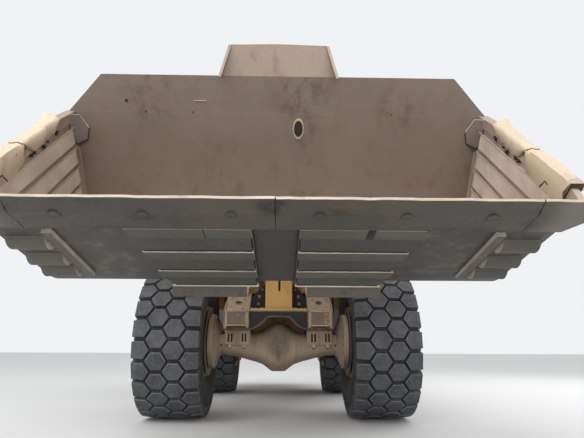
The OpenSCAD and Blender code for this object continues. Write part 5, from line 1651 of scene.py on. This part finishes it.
def hood_fittings():
    """Seams, bolts, lifting eyes, exhaust flap, air bowl and filler caps."""
    shape = Shape()
    for f in (-3.45, -3.8, -4.35, -4.9, -5.18):
        for side in (-1, 1):
            shape.block(flank_at(f, side * HOOD_X, 1.75, side), (0.03, 0.42, 0.006), 0.002, 0)
        shape.block(placed(f, 0, 2.6205), (1.2, 0.03, 0.008), 0.003, 0)
    for side in (-1, 1):
        for f in [-3.5 - 0.15 * k for k in range(12)]:
            shape.bolt(flank_at(f, side * HOOD_X, 1.56, side), 0.009, 0.009)
        # Lifting eyes on the hood, hood louvres ahead of the engine doors
        for f in (-3.9, -4.8):
            place = side_at(f, 2.62, side * 0.45 + 0.01)
            shape.plate(place, ((-0.05, -0.004), (0.05, -0.004), (0.03, 0.05), (0.0, 0.062), (-0.03, 0.05)), 0.02,
                0.003, 0)
            shape.disc(place @ move(0, 0.03, -0.0005), 0.014, 0.021, 16, material=2)
        for k in range(7):
            shape.block(axes(spot(-3.62, side * HOOD_X, 2.08 + k * 0.045), (0, 1, 0), (side, 0, 0.7)),
                (0.2, 0.03, 0.006), 0.002, 0)
    # Exhaust: flange, clamp bands and a hinged rain flap
    stack = placed(-3.65, -0.38, 0)
    shape.spun(stack, ((0.066, 2.95), (0.088, 2.95), (0.09, 2.944), (0.09, 2.9), (0.086, 2.895)), 36, 3)
    for z in (2.68, 3.0, 3.2):
        radius = 0.086 if z < 2.9 else 0.066
        shape.spun(stack, ((radius, z), (radius + 0.006, z + 0.004), (radius + 0.006, z + 0.022), (radius, z + 0.026)),
            36, 1)
    flap = axes(spot(-3.72, -0.38, 3.256), (1, 0, 0), (0, 0.5, 0.86))
    shape.disc(flap @ move(0, -0.066, 0.0), 0.072, 0.006, 32, material=1)
    shape.disc(stack @ move(0, 0, 3.2495), 0.058, 0.0012, 28, material=2)
    shape.block(flap, (0.05, 0.03, 0.03), 0.004, 1)
    # Air bowl
    bowl = placed(-3.65, 0.38, 0)
    shape.spun(bowl, ((0.0, 3.13), (0.04, 3.128), (0.1, 3.105), (0.14, 3.075), (0.158, 3.045)), 40, 3)
    shape.spun(bowl, ((0.158, 3.05), (0.168, 3.046), (0.168, 3.03), (0.16, 3.024)), 40, 3)
    shape.spun(bowl, ((0.16, 2.83), (0.168, 2.824), (0.168, 2.808), (0.15, 2.8)), 40, 3)
    for k in range(16):
        turn = bowl @ turned(tau * k / 16)
        shape.block(turn @ move(0.161, 0, 2.925), (0.008, 0.02, 0.16), 0.002, 3)
    shape.disc(bowl @ move(0, 0, 3.125), 0.018, 0.03, 16, bevel=0.004, material=1)
    # Filler caps on the guard
    for x, radius in ((-0.3, 0.05), (0.25, 0.065)):
        cap = placed(-5.32, x, 2.589)
        shape.spun(cap, ((0.0, 0.028), (radius * 0.9, 0.028), (radius, 0.022), (radius, 0.004), (radius * 1.2, 0.003),
            (radius * 1.2, 0.0)), 32, 3)
        for k in range(3):
            shape.block(cap @ turned(tau * k / 3) @ move(0, 0, 0.0285), (radius * 1.5, 0.012, 0.008), 0.003, 3)
    shape.finish("hood_fittings", "root", "paint steel burnt dark")


def deck_fittings():
    """Raised treads on the platforms and steps, rail flanges, tank bands and caps."""
    shape = Shape()
    for side in (-1, 1):
        stud = shape.block(turned(radians(40)), (0.034, 0.01, 0.005), 0.0, 0)
        geometry = faces_of(stud) + edges_of(stud) + stud
        start = spot(-2.1, side * 0.9, 1.9615)
        for i in range(53):
            for j in range(13):
                if i == j == 0:
                    continue
                made = bmesh.ops.duplicate(shape.bm, geom=geometry)["geom"]
                verts = verts_in(made)
                if (i + j) % 2:
                    bmesh.ops.rotate(shape.bm, cent=(0, 0, 0), matrix=Matrix.Rotation(radians(100), 3, "Z"),
                        verts=verts)
                bmesh.ops.translate(shape.bm, vec=start + Vector((side * j * 0.048, i * 0.048, 0)), verts=verts)
        bmesh.ops.translate(shape.bm, vec=start, verts=stud)
        for f in (-3.06, -3.85, -4.64):
            place = placed(f, side * 1.5, 1.96)
            shape.spun(place, ((0.021, 0.04), (0.026, 0.012), (0.05, 0.01), (0.052, 0.0)), 28, 1)
            shape.bolts(place, 4, 0.04, 0.009, 0.006, 0.006, False, 2, 0.5)
            for z in (2.48, 2.945):
                weld_ring(shape, placed(f, side * 1.5, z - 0.022), 0.021, 0.005, 1)
        for f in (-3.04, -4.66):
            for z in (2.48, 2.96):
                way = 1 if f > -4 else -1
                shape.spun(axes(spot(f, side * 1.5, z), (1, 0, 0), (0, -way, 0)),
                    ((0.0, 0.008), (0.014, 0.006), (0.0205, 0.0)), 20, 1)
        # Teeth on the ladder treads
        for z in (0.47, 0.83, 1.19, 1.55):
            for k in range(9):
                shape.block(placed(-2.16 - k * 0.026, side * 1.445, z + 0.004), (0.11, 0.008, 0.012), 0.002, 3)
        # Bands, bolts and the filler of each tank
        for f in (-2.2, -2.42):
            shape.block(flank_at(f, side * TANK_X, 1.41, side), (0.03, 0.98, 0.006), 0.002, 3)
        cap = flank_at(-2.31, side * TANK_X, 1.78, side)
        shape.spun(cap, ((0.0, 0.03), (0.04, 0.03), (0.048, 0.022), (0.048, 0.006), (0.062, 0.004), (0.062, 0.0)), 32,
            2)
        frame_round(shape, flank_at(-2.31, side * TANK_X, 1.2, side), 0.13, 0.3, 0.02, 0.008, 3)
        # Mud flaps hung behind the rear platform brackets
        shape.block(placed(-4.715, side * 1.2, 1.72), (0.5, 0.012, 0.36), 0.004, 4)
        for x in (1.0, 1.1, 1.2, 1.3, 1.4):
            shape.bolt(rear_at(-4.722, side * x, 1.87), 0.009, 0.009, material=2)
    shape.finish("deck_fittings", "root", "paint paint steel dark hose")


def tail_fittings():
    """Lamps, reflecting plates, bolts and lifting eyes on the counterweight, and frame details."""
    shape = Shape()
    for side in (-1, 1):
        lamp = rear_at(-5.9, side * 1.02, 1.565)
        shape.block(lamp @ move(0, 0, -0.05), (0.3, 0.13, 0.1), 0.012, 1)
        frame_round(shape, lamp, 0.3, 0.13, 0.014, 0.01, 1)
        for x, material in ((-0.085, 2), (0.0, 3), (0.085, 4)):
            shape.block(lamp @ move(x, 0, 0.004), (0.078, 0.096, 0.008), 0.003, material)
        eye = side_at(-5.6, 1.5, side * 0.62 + 0.015)
        shape.plate(eye, ((-0.09, -0.005), (0.09, -0.005), (0.05, 0.09), (0.0, 0.11), (-0.05, 0.09)), 0.03, 0.006, 0)
        shape.disc(eye @ move(0, 0.055, -0.0005), 0.026, 0.031, 20, material=5)
        for z in (0.95, 1.15, 1.35):
            shape.bolt(flank_at(-5.5, side * 1.3505, z, side), 0.02, 0.022, material=6)
        for f in (-5.45, -5.65):
            shape.bolt(placed(f, side * 1.1, 1.5), 0.022, 0.024, material=6)
        # Cast rib along the upper edge of the counterweight
        line = [spot(f, side * x, 1.485) for x, f in ((0.55, -5.994), (1.19, -5.994), (1.335, -5.8), (1.335, -5.37))]
        shape.pipe(line, 0.005, 8, 0)
        # Bolts and grease lines on the rear frame and the forks
        for k in range(7):
            shape.bolt(flank_at(-2.75 - k * 0.09, side * 0.4805, 1.4, side), 0.014, 0.015, material=6)
        shape.pipe(line_at(side * 0.46, ((-2.66, 1.2), (-3.0, 1.22), (-3.3, 1.3), (-3.9, 1.3))), 0.012, 8, 7)
        for z in (1.05, 1.12):
            shape.pipe(line_at(side * 0.49, ((-4.45, z), (-5.0, z), (-5.3, z - 0.02))), 0.012, 8, 7)
    for z, way in ((1.61, 1), (0.63, -1)):
        pin = axes(spot(-1.85, 0, z), (1, 0, 0), (0, 0, way))
        shape.spun(pin, ((0.0, 0.02), (0.1, 0.02), (0.108, 0.012), (0.108, 0.0)), 36, 6)
        shape.bolts(pin, 6, 0.085, 0.018, 0.011, 0.012, False, 6)
    # Drawbar slot's worn lips, beside and clear of the pin's bore
    for z in (1.004, 1.156):
        shape.block(placed(-5.993, 0, z), (0.3, 0.012, 0.012), 0.004, 6)
    shape.finish("tail_fittings", "root", "paint dark red_lens amber_lens lens burnt steel hose")


class LOADER_OT_rear(bpy.types.Operator):
    """Adds the grille mesh, lamps, latches, treads, caps and bolts behind the cab"""
    bl_idname = "loader.rear"
    bl_label = "Rear fittings"

    def execute(self, context):
        grille_mesh()
        engine_door_fittings()
        hood_fittings()
        deck_fittings()
        tail_fittings()
        return {"FINISHED"}


# Stage


class LOADER_OT_stage(bpy.types.Operator):
    """Lays the floor and sets the lamps, the world and the camera"""
    bl_idname = "loader.stage"
    bl_label = "Stage"

    def execute(self, context):
        scene = context.scene
        scene.view_settings.view_transform = "Standard"
        bm = bmesh.new()
        bmesh.ops.create_grid(bm, x_segments=1, y_segments=1, size=120)
        mesh = bpy.data.meshes.new("studio_floor")
        bm.to_mesh(mesh)
        bm.free()
        floor = bpy.data.objects.new("studio_floor", mesh)
        scene.collection.objects.link(floor)
        f = Finish("floor_finish")
        grain = f.noise(30.0, 4)
        mesh.materials.append(f.done(f.blend(f.band(grain, 0.3, 0.7), "#cececc", "#d4d4d3"), 0.95))
        world = bpy.data.worlds.new("studio_world")
        scene.world = world
        world.use_nodes = True
        nodes, links = world.node_tree.nodes, world.node_tree.links
        nodes.clear()
        # The camera, glossy faces and glass see a paler sky than the one that lights the scene
        kinds = ("Background", "Background", "LightPath", "Math", "Math", "MixShader", "OutputWorld")
        lit, seen, rays, either, third, mix, output = (nodes.new("ShaderNode" + kind) for kind in kinds)
        for node, colour, strength in ((lit, (0.96, 0.98, 1.0, 1.0), 0.95), (seen, (0.87, 0.89, 0.91, 1.0), 1.0)):
            node.inputs[0].default_value, node.inputs[1].default_value = colour, strength
        either.operation = third.operation = "MAXIMUM"
        for source, out, target, into in ((rays, "Is Camera Ray", either, 0), (rays, "Is Glossy Ray", either, 1),
                (either, 0, third, 0), (rays, "Is Transmission Ray", third, 1), (third, 0, mix, 0), (lit, 0, mix, 1),
                (seen, 0, mix, 2), (mix, 0, output, 0)):
            links.new(source.outputs[out], target.inputs[into])
        for name, place, aim, size, power in (("key_lamp", (-6.0, -13.0, 11.0), (0, -2, 1.2), 9.0, 1500.0),
                ("front_lamp", (1.5, -17.0, 2.6), (0, -3, 1.9), 9.0, 900.0),
                ("side_lamp", (9.0, 3.0, 8.0), (0, 0, 1.5), 8.0, 500.0)):
            light = bpy.data.lights.new(name, "AREA")
            light.energy, light.size = power, size
            lamp = bpy.data.objects.new(name, light)
            lamp.location = place
            lamp.rotation_euler = (Vector(aim) - Vector(place)).to_track_quat("-Z", "Y").to_euler()
            scene.collection.objects.link(lamp)
        eye = bpy.data.cameras.new("photo_camera")
        eye.sensor_width, eye.lens, eye.clip_end = 36.0, 29.16, 400
        camera = bpy.data.objects.new("photo_camera", eye)
        camera.location = (0.04, -7.225, 0.79)
        yaw, pitch, roll = (radians(angle) for angle in (1.16, 15.5, 0.2))
        look = Vector((sin(yaw) * cos(pitch), cos(yaw) * cos(pitch), sin(pitch)))
        camera.rotation_euler = (look.to_track_quat("-Z", "Y").to_matrix() @ Matrix.Rotation(roll, 3, "Z")).to_euler()
        scene.collection.objects.link(camera)
        scene.camera = camera
        return {"FINISHED"}


class LOADER_PT_panel(bpy.types.Panel):
    """Lists the loader's sizes, colours and steps"""
    bl_idname = "LOADER_PT_panel"
    bl_label = "Wheel Loader"
    bl_space_type = "VIEW_3D"
    bl_region_type = "UI"
    bl_category = "Loader"

    def draw(self, context):
        for group in (context.scene.loader_sizes, context.scene.loader_colours):
            for key in group.bl_rna.properties.keys():
                if key not in ("rna_type", "name"):
                    self.layout.prop(group, key)
        for step in STEPS:
            self.layout.operator(step.bl_idname)


STEPS = (LOADER_OT_stage, LOADER_OT_finishes, LOADER_OT_tyres, LOADER_OT_edge, LOADER_OT_bucket, LOADER_OT_axles,
    LOADER_OT_nose, LOADER_OT_linkage, LOADER_OT_wheels, LOADER_OT_cab, LOADER_OT_rear)
CLASSES = (LoaderColours, LoaderSizes) + STEPS + (LOADER_PT_panel,)


def register():
    for cls in CLASSES:
        bpy.utils.register_class(cls)
    bpy.types.Scene.loader_colours = PointerProperty(type=LoaderColours)
    bpy.types.Scene.loader_sizes = PointerProperty(type=LoaderSizes)


def unregister():
    del bpy.types.Scene.loader_sizes
    del bpy.types.Scene.loader_colours
    for cls in reversed(CLASSES):
        bpy.utils.unregister_class(cls)


def main():
    register()
    for step in STEPS:
        group, verb = step.bl_idname.split(".")
        getattr(getattr(bpy.ops, group), verb)()


if __name__ == "__main__":
    main()
